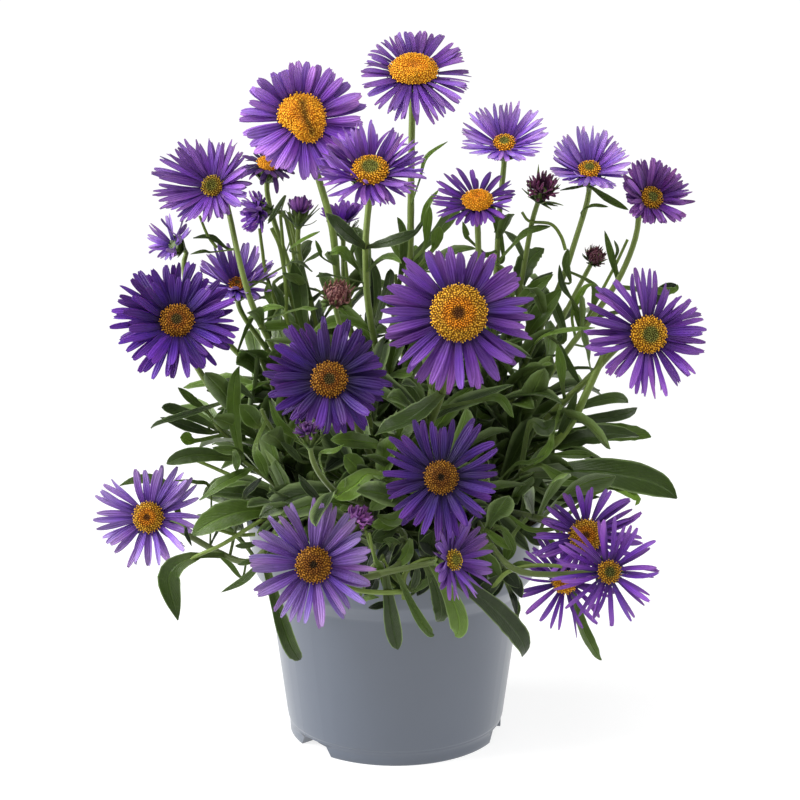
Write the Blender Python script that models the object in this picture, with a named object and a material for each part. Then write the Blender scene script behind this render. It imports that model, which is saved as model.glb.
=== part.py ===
"""A potted alpine aster in full flower.

One moulded pot, the soil in it, five leafy crowns that grow out of the soil, and the blooms on their stems.
Lengths in the tables are millimetres and are turned to metres where a mesh is made.
The front of the plant faces -Y, and the origin is the middle of the pot's flat underside.
"""

import math

import bmesh
import bpy
import numpy as np
from mathutils.bvhtree import BVHTree

MM = 0.001
SEED = 20

# Pot, as turned profiles
POT_SIDES = 30
FOOT_RADIUS = 43.1
FOOT_STEP = 5.8
FOOT_STEP_OUT = 0.4
BODY_RADIUS = 50.9
BODY_TOP = 60.5
BAND_RADIUS = 56.2
BAND_BOTTOM = 67.0
RIM_RADIUS = 60.0
RIM_TOP = 91.1
WALL = 1.3
FLOOR = 1.6
FIT = 0.3

# Notches in the foot, and drain holes
NOTCH_ANGLES = (-47.5, 72.5, 192.5)
NOTCH_WIDTH = 15.0
NOTCH_HEIGHT = 4.6
NOTCH_INNER = 37.0
DRAIN_RADIUS = 3.2
DRAIN_CIRCLE = 22.0

# Soil, and the holes that the crowns stand in
SOIL_TOP = 83.5
SOIL_MOUND = 2.0
SOIL_SWELL = 0.5
HOLE_SIDES = 8
HOLE_RADIUS = 9.6
HOLE_BOTTOM = 76.0
CROWN_TOP = 89.0
CROWN_NECK = 6.8
STEM_FOOT = 86.0

CROWNS = {
    "greens_left_front": (-30, -20),
    "greens_left_back": (-24, 24),
    "greens_middle_back": (8, 32),
    "greens_middle_front": (2, -28),
    "greens_right": (32, 0),
}
LF, LB, MB, MF, RT = CROWNS

# Rays
HUB_STEP = 0.95
RAY_SECTIONS = ((0.45, 1.0, 0.9), (0.84, 0.86, 0.75))
LOWER_RAY_SECTIONS = ((0.7, 1.0, 0.8),)
SMALL_RAY_SECTIONS = ((0.56, 1.0, 0.85),)
SMALL_REACH = 19.0
TINY_RAY_SECTIONS = ((0.56, 1.0, 0.6),)
TINY_REACH = 7.0
TINY_WIDEST = 2.2
LOWER_DROP = 7.0
RAY_BOW = 0.05
WIDEST_RAY = 3.6

# Discs and the green cups
DISC_LIFT = 0.3
DISC_BUMP = 0.3
CUP_DEPTH = 6.5
CUP_SHAPE = ((0.45, 0.82), (1.0, 1.0))
BUD_SHAPE = ((0.35, 1.0), (0.75, 0.8), (1.0, 0.25))

# Stems and leaves
STEM_SIDES = 6
THIN_SIDES = 5
THICK_DISC = 6.0
STEM_STATIONS = (0.0, 0.34, 0.64, 0.86, 1.0)
SHOOT_STATIONS = (0.0, 0.3, 0.62, 1.0)
STEM_TRIES = 160
LEAF_TRIES = 7
LEAF_STATIONS = (0.3, 0.6, 0.85)
MIDDLE_STATIONS = (0.42, 0.8)
LEAF_DEPTH = 1.0
LEAF_FOOT = 1.1
CLEARANCE = 0.55

# Tone of a bloom: colour of its rays
TONES = {
    "violet": (0.118, 0.052, 0.40),
    "dark": (0.055, 0.020, 0.24),
    "light": (0.215, 0.120, 0.52),
    "maroon": (0.075, 0.022, 0.060),
}

# Blooms: disc centre x y z, turn from the front, lift, reach of the rays, disc radius, rise of the rays,
# pairs of rays, tone, crown, and the points that the stem passes, from the bloom down
BLOOMS = {
    "01": ((7, 5, 262), 2, 43, 21.5, 9.2, -2, 11, "violet", MB, ((6, 14, 200),)),
    "02": ((-35, -12, 244), 4, 9, 23.6, 9.6, 0, 12, "violet", MB, ((-25, -6, 205), (-20, 4, 168))),
    "03": ((-9, -32, 226), 1, 44, 20.0, 6.9, 18, 10, "violet", MB, ((-11, -24, 195), (-8, -10, 160))),
    "04": ((-51, 28, 226), 17, 61, 11.2, 4.8, -10, 7, "violet", LB, ()),
    "05": ((-70, -2, 219), -15, 20, 21.1, 4.2, 16, 10, "violet", LB, ((-64, 6, 180),)),
    "06": ((-63, 14, 179), 6, 56, 16.0, 3.6, 33, 8, "light", LB, ()),
    "07": ((-88, 8, 196), -31, 18, 11.8, 2.8, 28, 6, "light", LB, ((-80, 14, 172),)),
    "08": ((-81, -32, 171), 8, 25, 22.6, 6.4, 13, 13, "dark", LF, ((-72, -18, 145),)),
    "12": ((42, 2, 235), -4, 46, 18.5, 4.2, 31, 8, "light", RT, ((40, 5, 195),)),
    "13": ((31, -16, 214), -3, 53, 16.5, 5.8, 6, 9, "dark", RT, ((32, -10, 180),)),
    "15": ((75, 2, 225), -7, 47, 16.2, 4.2, 31, 8, "light", RT, ((68, 4, 190),)),
    "16": ((97, -10, 215), 20, 23, 15.9, 4.4, 20, 8, "dark", RT, ((88, 0, 185),)),
    "18": ((22.5, -62, 178), -2, 9, 27.4, 10.3, -3, 14, "violet", MF, ((18, -46, 150),)),
    "19": ((-23, -66, 155), 3, 15, 22.1, 6.4, 0, 11, "dark", MF, ((-16, -50, 130),)),
    "21": ((95, -26, 165), 11, 11, 24.4, 7.1, 3, 11, "violet", RT, ((78, -13, 150),)),
    "22": ((16, -84, 124), -2, 15, 21.7, 5.8, 0, 11, "dark", MF, ((12, -62, 108),)),
    "23": ((-93, -36, 97), -6, 14, 21.9, 5.8, 0, 10, "light", LF, ((-73, -44, 86), (-48, -54, 93))),
    "24": ((-28, -88, 94), 3, 17, 22.8, 6.3, 3, 11, "light", MF,
           ((-13, -82, 88), (3, -72, 89), (4, -56, 99))),
    "27": ((20, -86, 95), 45, 17, 17.3, 3.5, 16, 8, "light", MF, ()),
    "28": ((69, -62, 97), -7, 21, 21.3, 6.0, 0, 10, "violet", RT, ((54, -49, 100),)),
    "29": ((75, -80, 89), 7, 16, 18.4, 4.0, 0, 8, "violet", RT, ((62, -60, 84), (46, -50, 94))),
    "30": ((63, -50, 76), -12, 5, 18.5, 4.4, 0, 8, "violet", RT, ((62, -34, 92),)),
    "31": ((-32, 66, 134), 165, 25, 21.0, 6.4, 4, 8, "violet", MB, ((-22, 52, 108),)),
    "32": ((34, 72, 150), 192, 20, 21.0, 6.4, 2, 8, "dark", MB, ((28, 52, 125),)),
}
BRANCHED = {"27": ("24", 0.62)}
NO_DISC = ("07",)

# Opening buds: the same table without a disc
TUFTS = {
    "09": ((-56, 24, 208), -54, 2, 10.5, 2.2, 38, 5, "violet", LB, ()),
    "10": ((-37, 2, 210), 26, 75, 8.4, 2.6, 54, 6, "violet", LB, ()),
    "11": ((-21, 22, 204), 2, 83, 9.0, 2.4, 44, 5, "violet", LB, ()),
    "14": ((55, -20, 219), 10, 40, 6.9, 2.8, 52, 6, "maroon", RT, ((50, 4, 185),)),
    "25": ((-30, -78, 139), -10, 65, 4.5, 2.2, 50, 5, "maroon", MF, ((-22, -66, 115),)),
    "26": ((-13, -72, 106), 39, 59, 5.0, 2.0, 50, 5, "violet", MF, ()),
}

# Closed buds: centre, turn, lift, radius, crown, points that the stem passes
BUDS = {
    "17": ((80, 16, 191), 18, 43, 3.6, RT, ()),
    "20": ((-21, -36, 182), 10, 37, 4.8, MF, ()),
}

# Leafy shoots without a flower: crown, top
SHOOTS = (
    (LF, (-70, -12, 128)),
    (LF, (-60, -30, 120)),
    (LF, (-46, -40, 102)),
    (LF, (-50, -34, 138)),
    (LB, (-54, 6, 152)),
    (LB, (-50, 42, 140)),
    (MF, (-5, -50, 130)),
    (MF, (-30, -42, 122)),
    (MF, (34, -52, 116)),
    (MF, (14, -40, 152)),
    (RT, (48, -30, 114)),
    (RT, (56, -12, 120)),
    (RT, (66, 2, 132)),
    (RT, (60, 22, 158)),
    (MB, (40, 30, 172)),
    (MB, (2, 60, 150)),
    (MB, (0, 8, 184)),
)

# Leaves that the photo shows one by one: crown, base, middle, tip, width
KEY_LEAVES = (
    (RT, (61, -25, 113), (85, -32, 116), (106, -38, 105), 12.0),
    (RT, (61, -15, 120), (79, -16, 125), (94, -18, 125), 10.0),
    (RT, (65, 0, 116), (85, 0, 122), (101, -2, 120), 9.0),
    (RT, (68, -5, 124), (84, 0, 128), (97, 5, 131), 5.0),
    (RT, (75, 0, 135), (84, 3, 135), (93, 5, 133), 5.0),
    (RT, (58, -30, 112), (78, -28, 109), (97, -26, 104), 7.0),
    (RT, (64, -44, 67), (71, -46, 55), (78, -48, 45), 5.0),
    (RT, (46, 8, 176), (52, 10, 187), (59, 14, 194), 9.5),
    (RT, (54, 10, 160), (60, 12, 168), (65, 14, 176), 6.8),
    (RT, (98, 0, 172), (105, 0, 178), (110, 0, 181), 4.3),
    (MF, (30, -72, 77), (39, -74, 70), (46, -66, 53), 8.5),
    (MF, (23, -74, 80), (22, -79, 74), (22, -76, 64), 7.5),
    (MF, (16, -74, 82), (16, -78, 76), (15, -76, 68), 7.0),
    (MF, (3, -78, 76), (9, -80, 71), (14, -80, 66), 4.0),
    (MF, (-2, -72, 78), (-1, -75, 69), (1, -72, 58), 6.5),
    (LF, (-42, -52, 67), (-40, -57, 58), (-35, -56, 48), 6.5),
    (LF, (-60, -46, 92), (-85, -50, 83), (-80, -50, 61), 7.0),
    (LF, (-46, -45, 104), (-61, -48, 101), (-75, -50, 94), 11.0),
    (LF, (-73, -20, 104), (-90, -24, 107), (-105, -28, 107), 5.0),
    (LF, (-67, -35, 129), (-76, -38, 128), (-85, -40, 119), 5.0),
    (LF, (-74, -10, 127), (-83, -10, 132), (-91, -10, 134), 5.0),
    (LF, (-74, -20, 131), (-84, -22, 132), (-93, -25, 129), 4.0),
    (LF, (-71, -20, 135), (-63, -22, 146), (-53, -24, 139), 4.0),
    (LF, (-62, -30, 126), (-61, -30, 140), (-58, -28, 153), 6.4),
    (LF, (-50, -40, 115), (-61, -42, 113), (-73, -44, 106), 5.9),
    (MF, (18, -60, 142), (5, -68, 141), (-7, -72, 136), 9.0),
    (MF, (-3, -55, 126), (-13, -58, 131), (-23, -60, 132), 7.0),
    (MF, (-14, -60, 124), (-13, -62, 119), (-12, -62, 112), 9.0),
    (MB, (-14, -33, 193), (-18, -34, 204), (-25, -36, 211), 6.0),
    (MB, (-10, -33, 196), (-1, -35, 201), (9, -36, 205), 4.5),
    (MB, (6, 6, 184), (3, 4, 196), (1, 2, 207), 3.9),
    (MB, (20, 30, 192), (22, 32, 205), (23, 34, 214), 6.5),
    (MB, (-4, -6, 169), (-3, -6, 180), (-2, -6, 188), 4.3),
)
KEY_SHIFTS = ((0, 0, 0), (0, -2, 0), (0, 2, 1), (0, -4, 1), (1, -3, 3), (-1, 3, 3), (0, -6, 2), (0, 5, -3))

# Leaves by rule: spacing up a stem, and (length, width) low down and high up
LEAF_GAP = 21.5
LEAF_FIRST = 0.16
LEAF_LAST = 0.86
LOW_LEAF = (43.0, 10.5)
HIGH_LEAF = (27.0, 5.6)
LEAF_TURN = 137.5

# The outline of the foliage seen from the front, as (x, z) on the plane y = 0, and the viewpoint
FOLIAGE = (
    (-46, 50), (-54, 59), (-60, 69), (-64, 76), (-74, 76), (-81, 82), (-82, 88), (-78, 98), (-82, 103), (-79, 111),
    (-92, 107), (-98, 110), (-94, 119), (-94, 125), (-91, 130), (-88, 138), (-81, 143), (-79, 149), (-72, 148),
    (-64, 146), (-62, 157), (-62, 166), (-59, 175), (-54, 179), (-52, 187), (-44, 190), (-42, 198), (-37, 203),
    (-30, 201), (-28, 191), (-25, 198), (-26, 208), (-22, 210), (-18, 203), (-9, 202), (0, 204), (0, 209), (3, 208),
    (6, 205), (6, 216), (11, 219), (17, 219), (23, 218), (33, 208), (37, 214), (41, 208), (47, 212), (54, 208),
    (61, 205), (64, 196), (67, 195), (76, 183), (80, 175), (79, 157), (82, 155), (80, 143), (82, 137), (92, 136),
    (98, 132), (101, 121), (97, 115), (103, 109), (115, 99), (115, 93), (98, 91), (82, 94), (70, 94), (61, 86),
    (57, 78), (60, 67), (52, 63), (53, 50), (53, 28), (47, 31), (34, 48), (26, 36), (18, 36), (13, 48), (3, 48),
    (2, 30), (-3, 30), (-5, 48), (-23, 49), (-37, 48), (-37, 27), (-43, 29),
)
VIEW_DISTANCE = 606.0
VIEW_HEIGHT = 250.0
FLAT = math.radians(0.05)


def unit(vector):
    """The vector at length one."""
    vector = np.asarray(vector, float)
    return vector / np.linalg.norm(vector)


def facing(turn, lift):
    """Direction turned from the front towards +X by turn and raised by lift, in degrees."""
    a, b = math.radians(turn), math.radians(lift)
    return np.array((math.sin(a) * math.cos(b), -math.cos(a) * math.cos(b), math.sin(b)))


def axes_of(normal):
    """Two directions across the normal: one level, one upward."""
    across = unit(np.cross((0, 0, 1), normal))
    return across, np.cross(normal, across)


def placed(points, centre, normal):
    """Points from a bloom's own frame, which looks along +Z, to their place on the plant."""
    across, up = axes_of(normal)
    return np.asarray(centre, float) + np.asarray(points) @ np.array((across, up, normal))


def spine(points, start, end, stations):
    """A Hermite curve through the points with these end tangents, read at shares of its length."""
    points = np.asarray(points, float)
    tangents = np.empty_like(points)
    tangents[1:-1] = (points[2:] - points[:-2]) / 2
    tangents[0] = start
    tangents[-1] = end
    t = np.linspace(0, 1, 24, endpoint=False)[:, None]
    parts = []
    for a, b, u, v in zip(points[:-1], points[1:], tangents[:-1], tangents[1:]):
        parts.append((2 * t**3 - 3 * t**2 + 1) * a + (t**3 - 2 * t**2 + t) * u
                     + (3 * t**2 - 2 * t**3) * b + (t**3 - t**2) * v)
    return along(np.vstack(parts + [points[-1:]]), stations)


def along(line, shares):
    """Points on a stem's straight stretches, at shares of its length."""
    reach = np.concatenate(([0], np.cumsum(np.linalg.norm(np.diff(line, axis=0), axis=1))))
    wanted = np.asarray(shares) * reach[-1]
    return np.column_stack([np.interp(wanted, reach, line[:, i]) for i in range(3)])


def tube(line, radii, sides):
    """A closed tube along a line, with a ring of points at each point of it."""
    line = np.asarray(line, float)
    steps = np.gradient(line, axis=0)
    across = unit(np.cross(steps[0], (0.31, 0.87, 0.38)))
    points = []
    for place, step, radius in zip(line, steps, radii):
        ahead = unit(step)
        across = unit(across - ahead * across.dot(ahead))
        other = np.cross(ahead, across)
        for k in range(sides):
            angle = 2 * math.pi * k / sides
            points.append(place + radius * (math.cos(angle) * across + math.sin(angle) * other))
    faces = []
    for ring in range(len(line) - 1):
        for k in range(sides):
            a, b = ring * sides + k, ring * sides + (k + 1) % sides
            faces += [(a, b, b + sides), (a, b + sides, a + sides)]
    last = (len(line) - 1) * sides
    faces.append(tuple(range(sides - 1, -1, -1)))
    faces.append(tuple(range(last, last + sides)))
    return points, faces


def turned(profile, sides, closed_top=True, bumps=None):
    """A closed solid turned about Z from (radius, height) pairs, which run from the bottom to the top."""
    points, faces = [], []
    for row, (radius, height) in enumerate(profile):
        for k in range(sides):
            angle = 2 * math.pi * k / sides
            push = bumps(row, k) if bumps else (0.0, 0.0)
            points.append(((radius + push[0]) * math.cos(angle), (radius + push[0]) * math.sin(angle),
                           height + push[1]))
    for row in range(len(profile) - 1):
        for k in range(sides):
            a, b = row * sides + k, row * sides + (k + 1) % sides
            faces += [(a, b, b + sides), (a, b + sides, a + sides)]
    last = (len(profile) - 1) * sides
    faces.append(tuple(range(sides - 1, -1, -1)))
    if closed_top:
        faces.append(tuple(range(last, last + sides)))
    return points, faces


def ridged_blade(sections, tip, keel_below):
    """Faces of a three-sided blade, whose sections are (left, right, keel) point numbers."""
    faces = []
    for (l0, r0, k0), (l1, r1, k1) in zip(sections[:-1], sections[1:]):
        if keel_below:
            faces += [(l0, l1, r1), (l0, r1, r0), (l1, l0, k0), (l1, k0, k1), (r0, r1, k1), (r0, k1, k0)]
        else:
            faces += [(l0, l1, k1), (l0, k1, k0), (k0, k1, r1), (k0, r1, r0), (r0, r1, l1), (r0, l1, l0)]
    l2, r2, k2 = sections[-1]
    if keel_below:
        faces += [(l2, tip, r2), (tip, l2, k2), (r2, tip, k2)]
    else:
        faces += [(l2, tip, k2), (k2, tip, r2), (tip, l2, r2)]
    return faces


def ray_ring(key, reach, disc, rise, pairs):
    """Rays in two layers round a hub: upper rays with a keel below, lower rays with a ridge on top."""
    rng = np.random.default_rng([SEED, int(key)])
    hub = disc + 0.25
    step = 2 * math.pi / pairs
    turn = rng.uniform(0, step)
    points = [(hub * math.cos(turn + step * i), hub * math.sin(turn + step * i), 0.0) for i in range(pairs)]
    points += [(hub * math.cos(turn + step * (i + 0.5)), hub * math.sin(turn + step * (i + 0.5)), -HUB_STEP)
               for i in range(pairs)]
    faces = [tuple(range(pairs)), tuple(range(2 * pairs - 1, pairs - 1, -1))]
    length = (reach - hub) / max(0.62, math.cos(math.radians(rise)))
    tiny = reach < TINY_REACH
    small = reach < SMALL_REACH and rise > 10
    for i in range(2 * pairs):
        upper = i < pairs
        shape = RAY_SECTIONS if upper else LOWER_RAY_SECTIONS
        if tiny or small:
            shape = TINY_RAY_SECTIONS if tiny else SMALL_RAY_SECTIONS
        number = i % pairs
        middle = turn + step * (number + (0.5 if upper else 0.0))
        angle = math.radians(rise - (0.0 if upper else LOWER_DROP) + rng.uniform(-1.5, 1.5))
        out = np.array((math.cos(middle), math.sin(middle), 0.0))
        side = np.array((-math.sin(middle), math.cos(middle), 0.0))
        ahead = out * math.cos(angle) + np.array((0, 0, math.sin(angle)))
        lift = np.cross(ahead, side)
        sway = rng.uniform(-0.05, 0.05)
        span = length * rng.uniform(0.88, 1.04)
        if upper:
            root = (number, (number + 1) % pairs, pairs + number)
            start = out * hub * math.cos(step / 2)
        else:
            root = (pairs + (number - 1) % pairs, pairs + number, number)
            start = out * hub * math.cos(step / 2) - np.array((0, 0, HUB_STEP))
        room = 0.95 * step * (hub + span * shape[0][0] * math.cos(angle))
        widest = min(room, TINY_WIDEST if tiny else WIDEST_RAY)
        sections = [root]
        for s, share, depth in shape:
            place = start + ahead * span * s + side * sway * span * s * s - lift * RAY_BOW * span * s * s
            half = side * widest * share / 2
            keel = place - lift * depth if upper else place + lift * depth
            sections.append((len(points), len(points) + 1, len(points) + 2))
            points += [place - half, place + half, keel]
        tip = len(points)
        points.append(start + ahead * span + side * sway * span - lift * RAY_BOW * span)
        faces += ridged_blade(sections, tip, upper)
    return points, faces


def disc_dome(disc):
    """A domed floret disc whose rows of points stand out and in by turns."""
    sides = 14 if disc > 8 else 10 if disc > 5 else 8
    height = 0.42 * disc
    profile = [(disc * 0.96, DISC_LIFT), (disc, DISC_LIFT + 0.3 * height),
               (disc * 0.66, DISC_LIFT + 0.85 * height)]
    if disc > 6:
        profile.append((disc * 0.34, DISC_LIFT + 0.86 * height))

    def bumps(row, k):
        return (0.0, DISC_BUMP * (1 if (k + row) % 2 else -0.4)) if row else (0.0, 0.0)

    points, faces = turned(profile, sides, closed_top=False, bumps=bumps)
    last = (len(profile) - 1) * sides
    points.append((0.0, 0.0, DISC_LIFT + (0.78 if disc > 6 else 1.0) * height))
    faces += [(last + k, last + (k + 1) % sides, len(points) - 1) for k in range(sides)]
    return points, faces


def leaf_line(base, middle, tip, stations):
    """A curve that leaves the base, bends by the middle point and ends at the tip, at these shares."""
    s = np.asarray(stations, float)[:, None]
    base, middle, tip = (np.asarray(p, float) for p in (base, middle, tip))
    control = 2 * middle - (base + tip) / 2
    return (1 - s) ** 2 * base + 2 * s * (1 - s) * control + s**2 * tip


def leaf_width(share):
    """Width of a spoon-shaped leaf as a share of its widest, at this share of its length."""
    return 0.28 + 0.72 * math.sin(math.pi * min(1.0, share**0.9) * 0.86) if share < 0.95 else 0.3


def leaf_blade(leaf, first=0.0, margin=0.0, stations=LEAF_STATIONS):
    """A three-sided leaf: flat on top with a keel below. A margin makes the larger one used for clearance."""
    base, middle, tip, width, up = leaf
    shares = [first, *[s for s in stations if s > first + 0.05]]
    places = leaf_line(base, middle, tip, shares)
    ahead = leaf_line(base, middle, tip, np.minimum(np.array(shares) + 0.02, 1.0)) - places
    points, sections = [], []
    for share, place, step in zip(shares, places, ahead):
        side = unit(np.cross(unit(step), up))
        lift = unit(np.cross(side, step))
        half = side * ((width * leaf_width(share) if share > 0 else LEAF_FOOT) / 2 + margin)
        depth = LEAF_DEPTH if share > 0 else 0.75 * LEAF_FOOT
        sections.append((len(points), len(points) + 1, len(points) + 2))
        top = place + lift * margin
        points += [top + half, top - half, place - lift * (depth + margin)]
    points.append(np.asarray(tip, float) + unit(ahead[-1]) * margin)
    faces = ridged_blade(sections, len(points) - 1, True)
    faces.append((0, 1, 2))
    return points, faces


def stem_foot(crown, number, count, toward):
    """Where the stem starts: inside the crown, on the side that it leans to."""
    x, y = CROWNS[crown]
    lean = math.atan2(toward[1] - y, toward[0] - x)
    angle = lean + (number - (count - 1) / 2) * 0.5
    return np.array((x + 5.0 * math.cos(angle), y + 5.0 * math.sin(angle), STEM_FOOT))


def stem_route(foot, neck, normal, via, key, attempt, stations):
    """A route from the crown to the neck of the bloom. Each attempt after the first bends it further."""
    rng = np.random.default_rng([SEED, key, attempt])
    reach = 0.0 if attempt == 0 else 2.0 + 0.16 * attempt
    rise = neck[2] - foot[2]
    middle = [np.asarray(p, float) for p in reversed(via)]
    if not middle:
        middle = [foot + (neck - foot) * (0.45, 0.45, 0.6)]
    middle = [p + rng.uniform(-1, 1, 3) * (reach, reach, reach * 0.6) for p in middle]
    route = [foot + rng.uniform(-1, 1, 3) * (min(reach, 3.0), min(reach, 3.0), 0), *middle, neck]
    first = route[1] - route[0]
    start = np.array((first[0] * 0.5, first[1] * 0.5, abs(first[2]) + 0.35 * abs(rise) + 12.0))
    span = np.linalg.norm(route[-1] - route[-2])
    end = normal * min(42.0, 0.85 * span) * rng.uniform(0.7, 1.25)
    return spine(route, start, end, stations)


def in_foliage(place):
    """Whether a place, seen from the front, lies within the outline of the foliage."""
    scale = VIEW_DISTANCE / (VIEW_DISTANCE + place[1])
    x, z = place[0] * scale, VIEW_HEIGHT + (place[2] - VIEW_HEIGHT) * scale
    inside = False
    for (x0, z0), (x1, z1) in zip(FOLIAGE, FOLIAGE[1:] + FOLIAGE[:1]):
        if (z0 > z) != (z1 > z) and x < x0 + (z - z0) * (x1 - x0) / (z1 - z0):
            inside = not inside
    return inside


def grown_leaves(number, line):
    """Leaves by a rule up a stem: each turned from the last, shorter and steeper toward the top."""
    length = np.linalg.norm(np.diff(line, axis=0), axis=1).sum()
    count = max(1, int(length * (LEAF_LAST - LEAF_FIRST) / LEAF_GAP))
    for i in range(count):
        share = LEAF_FIRST + (LEAF_LAST - LEAF_FIRST) * (i + 0.5) / count
        base, ahead = along(line, (share, share + 0.02))
        ahead = ahead - base
        attempts = [leaf_attempt(base, unit(ahead), number, i, attempt) for attempt in range(LEAF_TRIES)]
        yield [leaf for leaf in attempts if in_foliage(leaf[1]) and in_foliage(leaf[2])]


def leaf_attempt(base, ahead, number, i, attempt):
    """One way to set a leaf on its stem."""
    rng = np.random.default_rng([SEED, number, i, attempt])
    height = min(1.0, max(0.0, (base[2] - 90.0) / 110.0))
    across = unit(np.cross(ahead, (0.2, 0.97, 0.1)))
    other = np.cross(ahead, across)
    turn = math.radians(LEAF_TURN * i + 50 * number + rng.uniform(-50, 50) * min(attempt, 3))
    out = across * math.cos(turn) + other * math.sin(turn)
    lean = math.radians(rng.uniform(38, 66) - 12 * height)
    way = ahead * math.cos(lean) + out * math.sin(lean)
    size = rng.uniform(0.8, 1.15) * (1 - 0.07 * attempt)
    length = (LOW_LEAF[0] + (HIGH_LEAF[0] - LOW_LEAF[0]) * height) * size
    width = (LOW_LEAF[1] + (HIGH_LEAF[1] - LOW_LEAF[1]) * height) * size
    droop = rng.uniform(0.05, 0.34)
    tip = base + way * length - np.array((0, 0, droop * length))
    middle = base + way * length * 0.5
    return base, middle, tip, width, unit(ahead - way * ahead.dot(way))


def make_object(name, points, faces, colour, roughness=0.6, smooth=True):
    """An object with its own material, from points in millimetres."""
    mesh = bpy.data.meshes.new(name)
    mesh.from_pydata([tuple(np.asarray(p, float) * MM) for p in points], [], [tuple(f) for f in faces])
    mesh.update()
    item = bpy.data.objects.new(name, mesh)
    bpy.context.scene.collection.objects.link(item)
    if colour is not None:
        paint(item, colour, roughness)
    if smooth:
        mesh.shade_smooth()
        mesh.set_sharp_from_angle(angle=math.radians(40))
    return item


def paint(item, colour, roughness):
    """A Principled material with this linear colour and roughness."""
    material = bpy.data.materials.new(item.name)
    material.use_nodes = True
    shader = material.node_tree.nodes["Principled BSDF"]
    shader.inputs["Base Color"].default_value = (*colour, 1.0)
    shader.inputs["Roughness"].default_value = roughness
    shader.inputs["Metallic"].default_value = 0.0
    item.data.materials.append(material)


def cut(item, cutters, operation="DIFFERENCE"):
    """Boolean modifiers on the item, with the cutters kept as hidden guides."""
    for cutter in cutters:
        cutter.hide_render = True
        cutter.display_type = "WIRE"
        modifier = item.modifiers.new(cutter.name, "BOOLEAN")
        modifier.operation = operation
        modifier.object = cutter
        modifier.solver = "EXACT"


def box_points(size, centre, angle):
    """Corners and faces of a box, turned about Z by the angle that runs from the front towards +X."""
    faces = [(0, 2, 3, 1), (4, 5, 7, 6), (0, 1, 5, 4), (2, 6, 7, 3), (0, 4, 6, 2), (1, 3, 7, 5)]
    out = np.array((math.sin(angle), -math.cos(angle), 0.0))
    side = np.array((math.cos(angle), math.sin(angle), 0.0))
    points = []
    for z in (-0.5, 0.5):
        for y in (-0.5, 0.5):
            for x in (-0.5, 0.5):
                points.append(side * x * size[0] + out * (centre[0] + y * size[1])
                              + np.array((0, 0, centre[1] + z * size[2])))
    faces = [tuple(reversed(f)) for f in faces]
    return points, faces


def notch_rooms(name, grow):
    """Boxes for the three notches in the foot, made larger by grow on every side but the outer one."""
    rooms = []
    outer = FOOT_RADIUS + 6.0
    for i, degrees in enumerate(NOTCH_ANGLES):
        inner = NOTCH_INNER - grow
        size = (NOTCH_WIDTH + 2 * grow, outer - inner, NOTCH_HEIGHT + grow + 3.0)
        points, faces = box_points(size, ((outer + inner) / 2, size[2] / 2 - 3.0), math.radians(degrees))
        rooms.append(outward(make_object(f"{name}_{i}", points, faces, None, smooth=False)))
    return rooms


def outward(item):
    """Turns every face of a closed mesh outwards."""
    mesh = bmesh.new()
    mesh.from_mesh(item.data)
    bmesh.ops.recalc_face_normals(mesh, faces=mesh.faces)
    mesh.to_mesh(item.data)
    mesh.free()
    return item


def inner_profile(gap, top):
    """The inside of the pot, moved in by gap, from the floor up to the height top."""
    slope = (RIM_RADIUS - BAND_RADIUS) / (RIM_TOP - BAND_BOTTOM)
    inset = WALL + gap
    return [
        (FOOT_RADIUS - inset + 0.2, FLOOR + gap),
        (BODY_RADIUS - inset, BODY_TOP + 0.5 * inset),
        (BAND_RADIUS - inset, BAND_BOTTOM + 0.5 * inset),
        (BAND_RADIUS - inset + slope * (top - BAND_BOTTOM - 0.5 * inset), top),
    ]


def make_pot():
    """The pot: a turned outside with foot notches, less a turned inside that steps over the notches."""
    outside = [
        (FOOT_RADIUS, 0.0),
        (FOOT_RADIUS + 0.3, FOOT_STEP),
        (FOOT_RADIUS + 0.3 + FOOT_STEP_OUT, FOOT_STEP + 0.3),
        (BODY_RADIUS, BODY_TOP),
        (BAND_RADIUS, BAND_BOTTOM),
        (RIM_RADIUS, RIM_TOP),
    ]
    pot = make_object("pot", *turned(outside, POT_SIDES), (0.19, 0.205, 0.225), 0.5)
    cavity = make_object("pot_cavity", *turned(inner_profile(0.0, RIM_TOP + 2.0), POT_SIDES), None)
    cut(cavity, notch_rooms("notch_wall", WALL))
    drains = []
    for i in range(4):
        angle = math.radians(90 * i + 40)
        x, y = DRAIN_CIRCLE * math.cos(angle), DRAIN_CIRCLE * math.sin(angle)
        points, faces = turned([(DRAIN_RADIUS, -1.0), (DRAIN_RADIUS, FLOOR + 1.0)], 8)
        drains.append(make_object(f"drain_{i}", np.array(points) + (x, y, 0), faces, None))
    cut(pot, [*notch_rooms("notch", 0.0), cavity, *drains])
    return pot


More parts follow.
